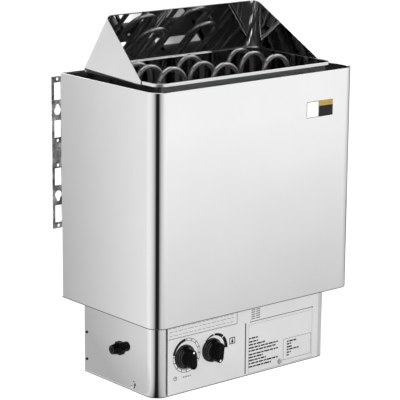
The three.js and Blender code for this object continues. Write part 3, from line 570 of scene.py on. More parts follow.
def raise_walls(bm, plan, low, high, closed=False):
    """Upright walls over a plan line."""
    corners = [bm.verts.new((x, y, low)) for x, y in plan]
    ends = corners[1:] + corners[:1] if closed else corners[1:]
    base = [bm.edges.new(pair) for pair in zip(corners, ends)]
    walls = bmesh.ops.extrude_edge_only(bm, edges=base)
    bmesh.ops.translate(bm, vec=UP * (high - low), verts=verts_of(walls))


def upright_edges(bm, places):
    """The upright edges that stand at these plan places."""
    found = []
    for edge in bm.edges:
        a, b = (vert.co for vert in edge.verts)
        if abs(a.z - b.z) < NEAR:
            continue
        for x, y in places:
            if max(abs(a.x - x), abs(b.x - x), abs(a.y - y), abs(b.y - y)) < NEAR:
                found.append(edge)
    return found


def round_off(bm, geom, radius, steps, affect="EDGES"):
    bmesh.ops.bevel(
        bm, geom=geom, offset=radius, offset_type="OFFSET", segments=steps, profile=0.5,
        affect=affect, material=-1,
    )


def folded_walls(plan, low, high, bends, radius, steps, closed=False):
    """A new bmesh of walls over a plan line, with bends at these plan places."""
    bm = bmesh.new()
    raise_walls(bm, plan, low, high, closed)
    round_off(bm, upright_edges(bm, bends), radius, steps)
    return bm


def front_plan(low, high, grow=0.0):
    """Plan line round the left, front and right of a box, moved out by a distance."""
    left, right, front = low.x - grow, high.x + grow, low.y - grow
    return [(left, high.y), (left, front), (right, front), (right, high.y)]


def wrapped_sheet(low, high, grow, foot, top, bend, steps):
    """A new bmesh of a sheet round the left, front and right of a box."""
    plan = front_plan(low, high, grow)
    return folded_walls(plan, foot, top, plan[1:3], bend + grow, steps)


def push_out(bm, faces, move):
    """Extrudes faces by a move and gives the new vertices and faces."""
    grown = bmesh.ops.extrude_face_region(bm, geom=faces)["geom"]
    verts = of_kind(grown, BMVert)
    bmesh.ops.translate(bm, vec=move, verts=verts)
    return verts, of_kind(grown, BMFace)


def polygon(bm, radius, sides):
    """The vertices and the face of a flat polygon round Z."""
    verts = bmesh.ops.create_circle(bm, cap_ends=True, radius=radius, segments=sides)["verts"]
    return verts, next(iter({face for vert in verts for face in vert.link_faces}))


def slab(bm, left, low, right, high, face, thick):
    """A thin block in front of a face, between two corners given in millimetres."""
    size = Vector(((right - left) * MM, thick, (high - low) * MM))
    middle = Vector(((left + right) / 2 * MM, face - thick / 2, (low + high) / 2 * MM))
    bmesh.ops.create_cube(bm, size=1.0, matrix=Matrix.LocRotScale(middle, None, size))


def lathe(bm, profile, turn, steps=48):
    """Spins a profile of radius and height round Z, then places it."""
    start = [bm.verts.new((radius, 0, height)) for radius, height in profile]
    line = [bm.edges.new(pair) for pair in zip(start, start[1:])]
    before = set(bm.verts) - set(start)
    bmesh.ops.spin(
        bm, geom=start + line, cent=(0, 0, 0), axis=UP, angle=2 * pi, steps=steps, use_merge=True
    )
    made = [vert for vert in bm.verts if vert not in before]
    bmesh.ops.remove_doubles(bm, verts=made, dist=MERGE)
    made = [vert for vert in bm.verts if vert not in before]
    bmesh.ops.transform(bm, matrix=turn, verts=made)


def pointing(place, outward):
    """The matrix that stands a lathed piece on a place, pointing outward."""
    return Matrix.Translation(place) @ UP.rotation_difference(outward).to_matrix().to_4x4()


def shade_below(bm, start, end, reach):
    """Gives the sides beyond a reach the second, darker finish below a line, as painted shade.

    The line runs from start to end, each given as depth and height.
    """
    run = Vector((0, end[0] - start[0], end[1] - start[1]))
    across = Vector((0, -run.z, run.y))
    foot = Vector((0, *start))
    bmesh.ops.bisect_plane(bm, geom=all_geom(bm), plane_co=foot, plane_no=across)
    for face in bm.faces:
        centre = face.calc_center_median()
        if abs(centre.x) > reach and (centre - foot).dot(across) < 0:
            face.material_index = 1


def mesh_from(name, bm):
    mesh = bpy.data.meshes.new(name)
    bm.to_mesh(mesh)
    bm.free()
    return mesh


def add_object(name, data):
    made = bpy.data.objects.new(name, data)
    bpy.context.scene.collection.objects.link(made)
    return made


def add_piece(
    name, bm, finish, body=ROOT, stands_for=(), thickness=0.0, edge=0.0, crease=35.0,
    second=None, lined=True,
):
    """Turns a bmesh into a piece that rides on a body.

    Its slot has the finish's name. A lined sheet has its second finish inside.
    """
    bmesh.ops.remove_doubles(bm, verts=bm.verts, dist=MERGE)
    bmesh.ops.recalc_face_normals(bm, faces=bm.faces)
    mesh = mesh_from(name, bm)
    mesh.shade_smooth()
    mesh.set_sharp_from_angle(angle=radians(crease))
    mesh.materials.append(FINISHES[finish])
    if second:
        mesh.materials.append(FINISHES[second])
    piece = add_object(name, mesh)
    if thickness:
        wall = piece.modifiers.new("wall", "SOLIDIFY")
        wall.thickness = thickness
        wall.offset = -1
        wall.use_even_offset = True
        wall.material_offset = 1 if second and lined else 0
    if edge:
        rounding = piece.modifiers.new("edges", "BEVEL")
        rounding.width = edge
        rounding.segments = 2
        rounding.limit_method = "ANGLE"
        rounding.angle_limit = radians(crease)
    normals = piece.modifiers.new("normals", "WEIGHTED_NORMAL")
    normals.keep_sharp = True
    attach(piece, body)
    if stands_for:
        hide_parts(*stands_for)
    return piece


def add_hem(name, low, high, bend, sheet):
    """A hem along the foot of a wrapped sheet, painted dark as the shade under its edge."""
    bm = wrapped_sheet(low, high, PROUD, low.z, low.z + sheet.hem, bend, sheet.bend_steps)
    add_piece(name, bm, "shaded_edge", thickness=sheet.thickness)


# Steps


class Step(Operator):
    """A step that builds one group of pieces."""

    bl_options = {"REGISTER", "UNDO"}

    def execute(self, context):
        self.build(context.scene.heater)
        return {"FINISHED"}


class HEATER_OT_finishes(Step):
    """Make the materials and give each carried-over node its own"""

    bl_idname = "heater.finishes"
    bl_label = "Finishes"

    def build(self, settings):
        make_finishes(settings.finish)
        for name, slot in SLOTS.items():
            materials = frame["nodes"][name].data.materials
            materials.clear()
            materials.append(FINISHES["dull_shaded_steel" if name in DULL_SHADED_NODES else slot])


class HEATER_OT_casing(Step):
    """Fold the outer casing from one sheet"""

    bl_idname = "heater.casing"
    bl_label = "Outer casing"

    LIP_INSET = 0.2 * MM
    LIP_RISE = 0.1 * MM

    def build(self, settings):
        sheet = settings.sheet
        steps = sheet.bend_steps
        low, high = CASING_LOW, CASING_HIGH
        inner = high.x - sheet.casing_return
        plan = [(-inner, high.y), *front_plan(low, high), (inner, high.y)]
        bm = folded_walls(plan, low.z, high.z, plan[2:4], sheet.casing_bend, steps)
        round_off(bm, upright_edges(bm, [plan[1], plan[4]]), sheet.return_bend, steps // 3)
        add_piece(
            "casing_shell", bm, "mirror_steel", stands_for=["outer_casing"],
            thickness=sheet.thickness, edge=sheet.edge, second="casing_inside",
        )
        add_hem("casing_hem", low, high, sheet.casing_bend, sheet)
        foot, top = high.z - sheet.lip, high.z + self.LIP_RISE
        bm = wrapped_sheet(low, high, -self.LIP_INSET, foot, top, sheet.casing_bend, steps)
        add_piece("casing_lip", bm, "mirror_steel", thickness=sheet.lip, edge=0.45 * sheet.lip)
        self.rear_shade_sheet()

    def rear_shade_sheet(self):
        # A thin dark sheet inside the rear panel's upper part: painted shade
        low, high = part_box("rear_panel")
        depth = low.y - PROUD
        bm = bmesh.new()
        across = [(low.x + MM, depth), (high.x - MM, depth)]
        raise_walls(bm, across, low.z + MM, high.z - MM)
        add_piece("rear_panel_painted_shade", bm, "dull_shaded_steel", thickness=PROUD / 2)


class HEATER_OT_stone_box(Step):
    """Build the stone box with its doubled rim and ledge"""

    bl_idname = "heater.stone_box"
    bl_label = "Stone box"

    def build(self, settings):
        sheet = settings.sheet
        wall, bend, steps = sheet.thickness, sheet.stone_bend, sheet.bend_steps
        low, high = STONE_LOW.z, STONE_HIGH.z
        plan = self.plan(wall)
        bm = folded_walls(plan, low, high - wall, plan, bend - wall, steps, closed=True)
        add_piece(
            "stone_box_walls", bm, "mirror_steel", stands_for=["stone_box"], thickness=wall,
            edge=sheet.edge,
        )
        self.rim(sheet, low, high)
        self.ledge(sheet, low, 2.3 * wall)

    def plan(self, inset):
        left, front = STONE_LOW.x + inset, STONE_LOW.y + inset
        right, rear = STONE_HIGH.x - inset, STONE_HIGH.y - inset
        return [(left, front), (right, front), (right, rear), (left, rear)]

    def rim(self, sheet, low, high):
        """The rim, whose sides under the reflector get painted shade."""
        plan = self.plan(0)
        bm = folded_walls(
            plan, high - sheet.rim_height, high, plan, sheet.stone_bend, sheet.bend_steps,
            closed=True,
        )
        middle = (STONE_LOW + STONE_HIGH) / 2
        half = (STONE_HIGH - STONE_LOW) / 2
        draw_in = (1 - sheet.rim_taper / half.x, 1 - sheet.rim_taper / half.y, 1)
        top = [vert for vert in bm.verts if vert.co.z > high - NEAR]
        bmesh.ops.scale(bm, vec=draw_in, verts=top, space=Matrix.Translation(-middle))
        start = HOOD_LOW.y + MM
        # Painted shade on the rim's sides behind the reflector's front
        shade_below(bm, (start, low), (start, high), half.x - MM)
        add_piece(
            "stone_box_rim", bm, "mirror_steel", thickness=0.9 * sheet.thickness, edge=0.4 * MM,
            second="dull_shaded_steel", lined=False,
        )

    def ledge(self, sheet, low, inset):
        bm = bmesh.new()
        corners = [bm.verts.new((x, y, low)) for x, y in self.plan(inset)]
        bm.faces.new(corners)
        round_off(bm, corners, sheet.stone_bend - inset, sheet.bend_steps, affect="VERTICES")
        floor = max(bm.faces, key=lambda face: face.calc_area())
        ring = bmesh.ops.inset_individual(bm, faces=[floor], thickness=sheet.ledge)["faces"]
        inside = [face for face in bm.faces if face not in ring]
        bmesh.ops.delete(bm, geom=inside, context="FACES")
        add_piece("stone_box_ledge", bm, "mirror_steel", thickness=0.9 * sheet.thickness)


class HEATER_OT_reflector(Step):
    """Fold the leaning heat reflector"""

    bl_idname = "heater.reflector"
    bl_label = "Heat reflector"

    def build(self, settings):
        sheet, hood = settings.sheet, settings.hood
        left, front, low = HOOD_LOW
        right, rear, high = HOOD_HIGH
        rim = STONE_HIGH.z
        fold = rim + hood.fold
        plan = [(right, front), (right, rear), (left, rear), (left, front)]
        bm = folded_walls(plan, low, fold, plan[1:3], hood.low_bend, sheet.bend_steps)
        for vert in [vert for vert in bm.verts if vert.co.z < low + NEAR]:
            share = (vert.co.y - front) / (rear - front)
            vert.co.z = rim - hood.front_skirt + share * (hood.front_skirt - hood.rear_skirt)
        self.raise_back(bm, hood, plan, fold)
        slant = Vector((0, rear - hood.lean - front, high - fold))
        bmesh.ops.bisect_plane(
            bm, geom=all_geom(bm), plane_co=(0, front, fold), plane_no=(0, -slant.z, slant.y),
            clear_outer=True,
        )
        # The skirt's sides get painted shade below a slanted line
        shade_start = (front, rim - hood.shade_front)
        shade_end = (rear - hood.low_bend, rim + hood.shade_rear)
        shade_below(bm, shade_start, shade_end, right - 2 * MM)
        add_piece(
            "reflector_sheet", bm, "mirror_steel", stands_for=["heat_reflector"],
            thickness=sheet.thickness, edge=sheet.edge, second="dull_shaded_steel", lined=False,
        )

    def raise_back(self, bm, hood, plan, fold):
        """Draws the sheet up from the fold, leaning forward, with tighter corners at the top."""
        right, rear, high = HOOD_HIGH
        edges = [e for e in bm.edges if all(abs(v.co.z - fold) < NEAR for v in e.verts)]
        top = verts_of(bmesh.ops.extrude_edge_only(bm, edges=edges))
        draw_in = right - hood.top_width / 2
        tighter = hood.top_bend / hood.low_bend
        reach = hood.low_bend * 1.01
        for x, y in plan:
            near = [v for v in top if abs(v.co.x - x) < reach and abs(v.co.y - y) < reach]
            if y == rear:
                corner = Matrix.Translation((-x, -y, 0))
                bmesh.ops.scale(bm, vec=(tighter, tighter, 1), verts=near, space=corner)
            inward = -draw_in if x > 0 else draw_in
            bmesh.ops.translate(bm, vec=(inward, -hood.lean, high - fold), verts=near)


class Sweep:
    """A tube or strip that grows from its first edges by straight runs and bends."""

    def __init__(self, bm, edges, start):
        self.bm = bm
        self.edges = edges
        self.place = Vector(start)

    def run(self, end):
        grown = bmesh.ops.extrude_edge_only(self.bm, edges=self.edges)
        verts = verts_of(grown)
        bmesh.ops.translate(self.bm, vec=Vector(end) - self.place, verts=verts)
        self.edges = [e for e in edges_of(grown) if all(v in verts for v in e.verts)]
        self.place = Vector(end)

    def bend(self, centre, axis, turn, steps):
        verts = list({vert for edge in self.edges for vert in edge.verts})
        grown = bmesh.ops.spin(
            self.bm, geom=verts + self.edges, cent=centre, axis=axis, angle=turn, steps=steps
        )
        self.edges = of_kind(grown["geom_last"], BMEdge)
        arm = self.place - Vector(centre)
        self.place = Vector(centre) + Matrix.Rotation(turn, 3, axis) @ arm

    def close(self):
        bmesh.ops.holes_fill(self.bm, edges=self.edges, sides=0)


class HEATER_OT_elements(Step):
    """Bend the three tubular heating elements"""

    bl_idname = "heater.elements"
    bl_label = "Heating elements"

    LOOP_STEPS = 36
    BEND_STEPS = 14

    def build(self, settings):
        element = settings.element
        for side in ("left", "middle", "right"):
            name = f"heating_element_{side}"
            low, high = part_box(name)
            bm = bmesh.new()
            self.tube(bm, element, low, high, getattr(element, f"{side}_rise"))
            add_piece(f"loops_{side}", bm, "element_steel", stands_for=[name])

    def tube(self, bm, element, low, high, tops):
        radius = element.tube / 2
        left, right = low.x + radius, high.x - radius
        loop, middle = (right - left) / 2, (left + right) / 2
        bend = element.low_bend
        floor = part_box("stone_grate")[1].z + element.low_height
        end = low.z + element.terminal_length
        rows = (element.front_row, element.middle_row, element.rear_row)
        start = (left, rows[0], end)
        ring = bmesh.ops.create_circle(
            bm, cap_ends=True, radius=radius, segments=element.sides,
            matrix=Matrix.Translation(start),
        )
        edges = list({edge for vert in ring["verts"] for edge in vert.link_edges})
        tube = Sweep(bm, edges, start)
        near, far = left, right
        for row, following, top in zip(rows, rows[1:] + (None,), tops):
            crown = STONE_HIGH.z + top - element.tube - loop + radius
            tube.run((near, row, crown))
            tube.bend((middle, row, crown), REAR, pi if far > near else -pi, self.LOOP_STEPS)
            if following is None:
                tube.run((far, row, end))
                break
            tube.run((far, row, floor + bend))
            tube.bend((far, row + bend, floor + bend), RIGHT, QUARTER, self.BEND_STEPS)
            if following - row - 2 * bend > NEAR:
                tube.run((far, following - bend, floor))
            tube.bend((far, following - bend, floor + bend), RIGHT, QUARTER, self.BEND_STEPS)
            near, far = far, near
        tube.close()
        rod, tip = element.terminal / 2, 0.3 * MM
        profile = [(0, 0), (rod - tip, 0), (rod, tip), (rod, element.terminal_length + MM)]
        for x, y in ((left, rows[0]), (far, rows[-1])):
            lathe(bm, profile, Matrix.Translation((x, y, low.z)), steps=20)


class HEATER_OT_lower_box(Step):
    """Fold the junction box under the casing"""

    bl_idname = "heater.lower_box"
    bl_label = "Junction box"

    def build(self, settings):
        sheet = settings.sheet
        low, high, bend = BOX_LOW, BOX_HIGH, sheet.box_bend
        bm = wrapped_sheet(low, high, 0.0, low.z, high.z, bend, sheet.bend_steps)
        # Its inside faces get the darkened dull steel as painted shade
        add_piece(
            "lower_box_shell", bm, "mirror_steel", stands_for=["junction_box"],
            thickness=sheet.thickness, edge=sheet.edge, second="dull_shaded_steel",
        )
        add_hem("lower_box_hem", low, high, bend, sheet)


class HEATER_OT_brackets(Step):
    """Fold the wall brackets and cut their slots and keyholes"""

    bl_idname = "heater.brackets"
    bl_label = "Wall brackets"

    # Heights of the pattern from the bracket's middle, the same above and below, in millimetres
    HOLES = (20, 119.5)
    SLOTS = (39, 100)
    KEYHOLE = 68.5

    BEND_STEPS = 6
    HOLE_STEPS = 24
    KEYHOLE_STEPS = 28

    def build(self, settings):
        bracket = settings.bracket
        bend = bracket.bend
        for side, way in (("left", 1), ("right", -1)):
            low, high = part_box(f"wall_bracket_{side}")
            outer, foot = (low.x, high.x) if way > 0 else (high.x, low.x)
            web = outer + way * bracket.flange
            flat = web - way * bend
            step = low.y + bracket.thickness
            self.wall = high.y
            self.middle = Vector((outer + way * bracket.line, 0, (low.z + high.z) / 2))
            bm = bmesh.new()
            self.loop(bm, [(outer, low.z), (outer, high.z), (flat, high.z), (flat, low.z)])
            for half in (1, -1):
                self.pattern(bm, bracket, half)
            bmesh.ops.triangle_fill(bm, edges=bm.edges[:], use_beauty=True, normal=REAR)
            inner = [e for e in bm.edges if all(abs(v.co.x - flat) < MERGE for v in e.verts)]
            strip = Sweep(bm, inner, (flat, high.y, 0))
            turn = way * QUARTER
            strip.bend((flat, high.y - bend, 0), UP, -turn, self.BEND_STEPS)
            strip.run((web, step + bend, 0))
            strip.bend((web + way * bend, step + bend, 0), UP, turn, self.BEND_STEPS)
            strip.run((foot, step, 0))
            add_piece(
                f"wall_strip_{side}", bm, "galvanised_steel",
                stands_for=[f"wall_bracket_{side}"], thickness=bracket.thickness, edge=0.2 * MM,
            )

    def loop(self, bm, corners):
        """A closed line on the wall face through corners given as X and Z."""
        verts = [bm.verts.new((x, self.wall, z)) for x, z in corners]
        for pair in zip(verts, verts[1:] + verts[:1]):
            bm.edges.new(pair)

    def arc(self, rise, radius, start, sweep, steps):
        """Points on an arc round the hole line at a rise, with angles from the right."""
        angles = [start + sweep * step / steps for step in range(steps + 1)]
        x, z = self.middle.x, self.middle.z + rise
        return [(x + radius * cos(turn), z + radius * sin(turn)) for turn in angles]

    def pattern(self, bm, bracket, half):
        """The holes of the upper or lower half."""
        for place in self.HOLES:
            ring = self.arc(half * place * MM, bracket.hole / 2, 0, 2 * pi, self.HOLE_STEPS)
            self.loop(bm, ring[:-1])
        wide, tall = bracket.slot_width / 2, bracket.slot_length / 2
        for place in self.SLOTS:
            x, z = self.middle.x, self.middle.z + half * place * MM
            corners = ((-wide, -tall), (wide, -tall), (wide, tall), (-wide, tall))
            self.loop(bm, [(x + across, z + up) for across, up in corners])
        radius, neck = bracket.keyhole / 2, bracket.neck / 2
        spread = asin(neck / radius)
        up = half * QUARTER
        rise = half * self.KEYHOLE * MM
        ring = self.arc(rise, radius, up + spread, 2 * (pi - spread), self.KEYHOLE_STEPS)
        top = rise + half * bracket.neck_length
        self.loop(bm, ring + self.arc(top, neck, up - QUARTER, pi, self.KEYHOLE_STEPS // 2))


class HEATER_OT_panel_print(Step):
    """Print the scales, frames and rules on the front panel"""

    bl_idname = "heater.panel_print"
    bl_label = "Panel print"

    # Places on the panel's face in millimetres: left, low, right and high, then a line's width
    # A dark ink strip over the slit: painted shade
    SLIT = (0.9, 4, 2.9, 89)
    RULES = (
        # The first is a dark line down the panel's left edge
        (-160.4, 2.5, -158.2, 128.5),
        (-156.5, 91.8, -16, 92.6),
        (-16.8, 92.6, -16, 120),
        (14, 88.7, 146.5, 89.7),
    )
    FRAMES = ((84, 10.5, 145.5, 46, 0.5), (-32, 60.4, -20.2, 71.4, 1.4))
    FINE_FRAME = (8.8, 3.5, 147.5, 84.6, 0.3)
    THERMOMETER = (-27.1, 64, -25.1, 69.6)
    CLOCK_HANDS = ((-143.2, 26.4, -142.4, 29), (-142.8, 26.2, -140.8, 27))
    MARKS = (-127, -123.6, -120.2, -116.8, -113.4)
    # Centre, inner and outer radius of the full rings: bulb, clock and the ends of the upper rule
    RINGS = (
        (-26.1, 64.4, 0.1, 2.2),
        (-142.8, 26.6, 2.7, 3.5),
        (12.6, 89.1, 0.1, 1.1),
        (147.4, 89.1, 0.1, 1.3),
    )
    # Height and right end of each row of dashes, for two columns
    ROW_HEIGHT = 2.4
    COLUMNS = {
        9.3: (
            (60.3, 28.5), (54.6, 28.6), (49.5, 43.8), (44.2, 72), (39.2, 67), (33.2, 72.5),
            (28.3, 40), (23.2, 46.5), (18, 73.6), (12.6, 57.7),
        ),
        92: ((39.4, 113.6), (34.9, 102), (30, 104.2), (25.4, 118.5), (20.8, 101.5), (16.2, 97)),
    }
    FINE_ROWS = (109, 103.4, 97)
    SHORT_ROWS = (107.6, 104, 100.4, 96.8, 93.2)
    DASHES = (9, 5, 11, 7, 4, 8, 6)
    TIMER_CENTRE = (-120.2, 60.8)
    THERMOSTAT_CENTRE = (-64.5, 59.5)
    # Start and sweep in degrees, width and growth of the thermostat's three arcs
    WARMTH = ((-48, 46, 1.4, 2.2), (3, 43, 3.2, 3.2), (50, 45, 5.6, 1.2))

    def build(self, settings):
        control = settings.control
        self.ink = control.ink
        bm = bmesh.new()
        self.rules_and_rows(bm)
        self.icons(bm)
        self.timer_scale(bm, control)
        self.thermostat_scale(bm, control.thermostat_arc)
        add_piece("panel_print", bm, "panel_ink")
        bm = bmesh.new()
        self.fine_rows(bm)
        add_piece("panel_rows", bm, "grey_ink")
        # A dark strip over the panel's slit: painted shade
        bm = bmesh.new()
        self.bar(bm, *self.SLIT)
        add_piece("slit_shade", bm, "panel_ink")

    def bar(self, bm, left, low, right, high):
        slab(bm, left, low, right, high, PANEL_LOW.y, self.ink)

    def outline(self, bm, left, low, right, high, line):
        self.bar(bm, left, low, right, low + line)
        self.bar(bm, left, high - line, right, high)
        self.bar(bm, left, low + line, left + line, high - line)
        self.bar(bm, right - line, low + line, right, high - line)

    def row(self, bm, left, height, right, high, gap=1.3):
        """A row of plain dashes that fills a line of the print."""
        at, index = left, int(height)
        while at < right - 1:
            end = min(right, at + self.DASHES[index % len(self.DASHES)])
            self.bar(bm, at, height, end, height + high)
            at, index = end + gap, index + 1

    def band(self, bm, centre, inner, outer, start, sweep, growth=0.0):
        """A printed arc; angles run clockwise from twelve o'clock, in degrees."""
        at = radians(start)
        pivot = Vector((centre[0] * MM, PANEL_LOW.y, centre[1] * MM))
        aim = Vector((sin(at), 0, cos(at)))
        ends = [bm.verts.new(pivot + reach * aim) for reach in (inner, outer)]
        line = bm.edges.new(ends)
        steps = max(1, int(sweep / 3))
        before = set(bm.faces)
        bmesh.ops.spin(
            bm, geom=ends + [line], cent=pivot, axis=REAR, angle=radians(sweep), steps=steps
        )
        flat = [face for face in bm.faces if face not in before]
        middle = (inner + outer) / 2
        for vert in {vert for face in flat for vert in face.verts}:
            arm = vert.co - pivot
            if growth and arm.length > middle:
                turned = atan2(arm.x, arm.z) - at
                vert.co = pivot + arm * (1 + growth * turned / arm.length)
        push_out(bm, flat, FRONT * self.ink)

    def rules_and_rows(self, bm):
        for rule in self.RULES:
            self.bar(bm, *rule)
        for edges in self.FRAMES:
            self.outline(bm, *edges)
        for left, rows in self.COLUMNS.items():
            for height, right in rows:
                self.row(bm, left, height, right, self.ROW_HEIGHT)

    def fine_rows(self, bm):
        self.outline(bm, *self.FINE_FRAME)
        for height in self.FINE_ROWS:
            self.row(bm, -155, height, -21, 0.6, gap=2.4)
        for height in self.SHORT_ROWS:
            self.bar(bm, 14, height, 22, height + 1.4)
            self.bar(bm, 24, height, 32.6, height + 1.4)

    def icons(self, bm):
        """A thermometer, a clock, a row of marks and the ends of the upper rule."""
        for bar in (self.THERMOMETER, *self.CLOCK_HANDS):
            self.bar(bm, *bar)
        for x in self.MARKS:
            self.bar(bm, x, 25, x + 1.6, 27.2)
        for x, z, inner, outer in self.RINGS:
            self.band(bm, (x, z), inner * MM, outer * MM, 0, 360)

    def timer_scale(self, bm, control):
        outer = control.timer_ring
        inner = outer - control.timer_band
        line = 0.7 * MM
        start, sweep, ticks = -1, 273, 13
        self.band(bm, self.TIMER_CENTRE, inner, outer, -82, 77)
        self.band(bm, self.TIMER_CENTRE, inner, inner + line, start, sweep)
        self.band(bm, self.TIMER_CENTRE, outer - line, outer, start, sweep)
        for tick in range(ticks):
            self.band(bm, self.TIMER_CENTRE, inner, outer, start + tick * 22.6, 3)

    def thermostat_scale(self, bm, inner):
        for start, sweep, wide, growth in self.WARMTH:
            outer = inner + wide * MM
            self.band(bm, self.THERMOSTAT_CENTRE, inner, outer, start, sweep, growth * MM)


class HEATER_OT_knobs(Step):
    """Shape the timer and thermostat knobs"""

    bl_idname = "heater.knobs"
    bl_label = "Knobs"

    # How far the rings of the disc draw in from its edge and rise above its skirt, in millimetres
    RINGS = (
        (0, -1.6), (1.15, 0), (2.4, 0.1), (2.5, 1), (3.65, 2.6), (4.9, 2.7), (5, 3.2), (6.15, 4.8),
    )
    DISC_RISE = 5 * MM
    # How far the grip stands out and rises, from its foot and then from its top, in millimetres
    FLARE_FOOT = 3.2 * MM
    FLARE = ((1.6, 2.6), (0.7, 4.6), (0.2, 7))
    CROWN = ((0, -1.2), (-0.4, -0.35), (-1.2, 0))

    def build(self, settings):
        control = settings.control
        for name in ("timer", "thermostat"):
            low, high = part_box(f"{name}_knob")
            centre = (low + high) / 2
            dot_low, dot_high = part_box(f"{name}_pointer")
            lean = (dot_low + dot_high) / 2 - centre
            turn = Matrix.Rotation(atan2(-lean.x, lean.z), 4, "Z")
            base = Matrix.Translation((centre.x, high.y, centre.z))
            place = base @ Matrix.Rotation(QUARTER, 4, "X") @ turn
            radius = (high.x - low.x) / 2
            bm = bmesh.new()
            self.disc(bm, control.skirt, radius, place)
            self.grip(bm, control, radius, high.y - low.y, place)
            add_piece(
                f"{name}_knob_body", bm, "black_plastic", body=name, stands_for=[f"{name}_knob"],
                edge=0.35 * MM, second="painted_sheen_plastic",
            ).visible_glossy = False

    def disc(self, bm, skirt, radius, place):
        """The stepped disc, whose slopes are painted lighter as a sheen."""
        profile = [(0, 0), (radius - 0.4 * MM, 0), (radius, 0.6 * MM)]
        profile += [(radius - inward * MM, skirt + up * MM) for inward, up in self.RINGS]
        profile.append((0, skirt + self.DISC_RISE))
        lathe(bm, profile, place, steps=72)
        axis = place.to_3x3() @ UP
        bm.normal_update()
        for face in bm.faces:
            if 0.5 < abs(face.normal.dot(axis)) < 0.7:
                face.material_index = 1

    def grip(self, bm, control, radius, height, place):
        """The long grip, drawn up from its flared foot."""
        half = control.grip / 2
        width = half + self.FLARE_FOOT
        low = level = control.skirt + 1 * MM
        reach = radius - half - 3.6 * MM
        verts, face = polygon(bm, width, 48)
        made = set(verts)
        for way in (1, -1):
            moved = [vert for vert in verts if vert.co.y * way > 0]
            bmesh.ops.translate(bm, vec=(0, way * reach, 0), verts=moved)
        bmesh.ops.translate(bm, vec=UP * low, verts=verts)
        levels = [(half + outward * MM, low + up * MM) for outward, up in self.FLARE]
        levels += [(half + outward * MM, height + up * MM) for outward, up in self.CROWN]
        for wide, up in levels:
            verts, (face,) = push_out(bm, [face], UP * (up - level))
            stretch = (reach + wide) / (reach + width)
            bmesh.ops.scale(bm, vec=(wide / width, stretch, 1), verts=verts)
            made.update(verts)
            width, level = wide, up
        bmesh.ops.transform(bm, matrix=place, verts=list(made))


class HEATER_OT_gland(Step):
    """Build the cable gland on the left side"""

    bl_idname = "heater.gland"
    bl_label = "Cable gland"

    SHRINK = 0.9  # Width of the hexagons against the solid nut's
    THREAD = 8 * MM
    PITCH = 1.6 * MM
    BORE = 5 * MM
    HEXAGON = 4.5 * MM
    SEAL_HOLE = 3.5 * MM
    # Radius and rise of the dome, from its foot and then from its end, in millimetres
    DOME_FOOT = ((9.3, 0), (9.1, 1.6), (8.6, 4.2), (7.9, 7.6))
    DOME_END = ((7.5, -1.4), (7.1, -0.4), (6.6, 0), (5.9, 0))

    def build(self, settings):
        low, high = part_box("gland_nut")
        centre = (low + high) / 2
        across = self.SHRINK * (high.y - low.y)
        self.wall = BOX_LOW.x
        seat = Matrix.Translation((self.wall, centre.y, centre.z))
        self.place = seat @ Matrix.Rotation(-QUARTER, 4, "Y")
        near, far = self.wall - high.x, self.wall - low.x
        self.thread(across, near)
        self.dome(across, near, far)
        self.seal()

    def thread(self, across, near):
        inside, end = self.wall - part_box("gland_body")[1].x, near + 5 * MM
        profile = [(self.BORE, inside), (self.THREAD, inside)]
        for turn in range(6):
            profile.append((self.THREAD - 0.6 * MM, turn * self.PITCH + 0.7 * MM))
            profile.append((self.THREAD, turn * self.PITCH + 1.5 * MM))
        profile += [(self.THREAD, end), (self.BORE, end), profile[0]]
        bm = bmesh.new()
        lathe(bm, profile, self.place)
        self.hexagon(bm, across, near - self.HEXAGON - 0.3 * MM)
        self.add("gland_thread_and_hex", bm, "gland_body", edge=0.4 * MM)

    def dome(self, across, near, far):
        bore = self.BORE + 0.2 * MM
        start = near + self.HEXAGON - 0.4 * MM
        profile = [(bore, start)]
        profile += [(radius * MM, start + up * MM) for radius, up in self.DOME_FOOT]
        profile += [(radius * MM, far + up * MM) for radius, up in self.DOME_END]
        profile += [(bore, far - 0.7 * MM), profile[0]]
        bm = bmesh.new()
        self.hexagon(bm, across, near)
        lathe(bm, profile, self.place, steps=64)
        self.add("gland_dome_nut", bm, "gland_nut", edge=0.3 * MM)

    def seal(self):
        low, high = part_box("gland_seal")
        near, far = self.wall - high.x, self.wall - low.x
        hole, skin, round_by = self.SEAL_HOLE, (high.y - low.y) / 2, 0.4 * MM
        lead = 0.5 * MM
        profile = [(hole, near), (skin, near), (skin, far - round_by), (skin - round_by, far)]
        profile += [(hole + lead, far), (hole, far - lead), (hole, near)]
        bm = bmesh.new()
        lathe(bm, profile, self.place)
        self.add("gland_seal_ring", bm, "gland_seal", finish="black_rubber")

    def hexagon(self, bm, across, low):
        verts, face = polygon(bm, across / 2 / cos(pi / 6), 6)
        bmesh.ops.translate(bm, vec=UP * low, verts=verts)
        grown, _ = push_out(bm, [face], UP * self.HEXAGON)
        bmesh.ops.transform(bm, matrix=self.place, verts=verts + grown)

    def add(self, name, bm, stands_for, finish="black_plastic", edge=0.0):
        piece = add_piece(name, bm, finish, stands_for=[stands_for], edge=edge)
        piece.visible_glossy = False


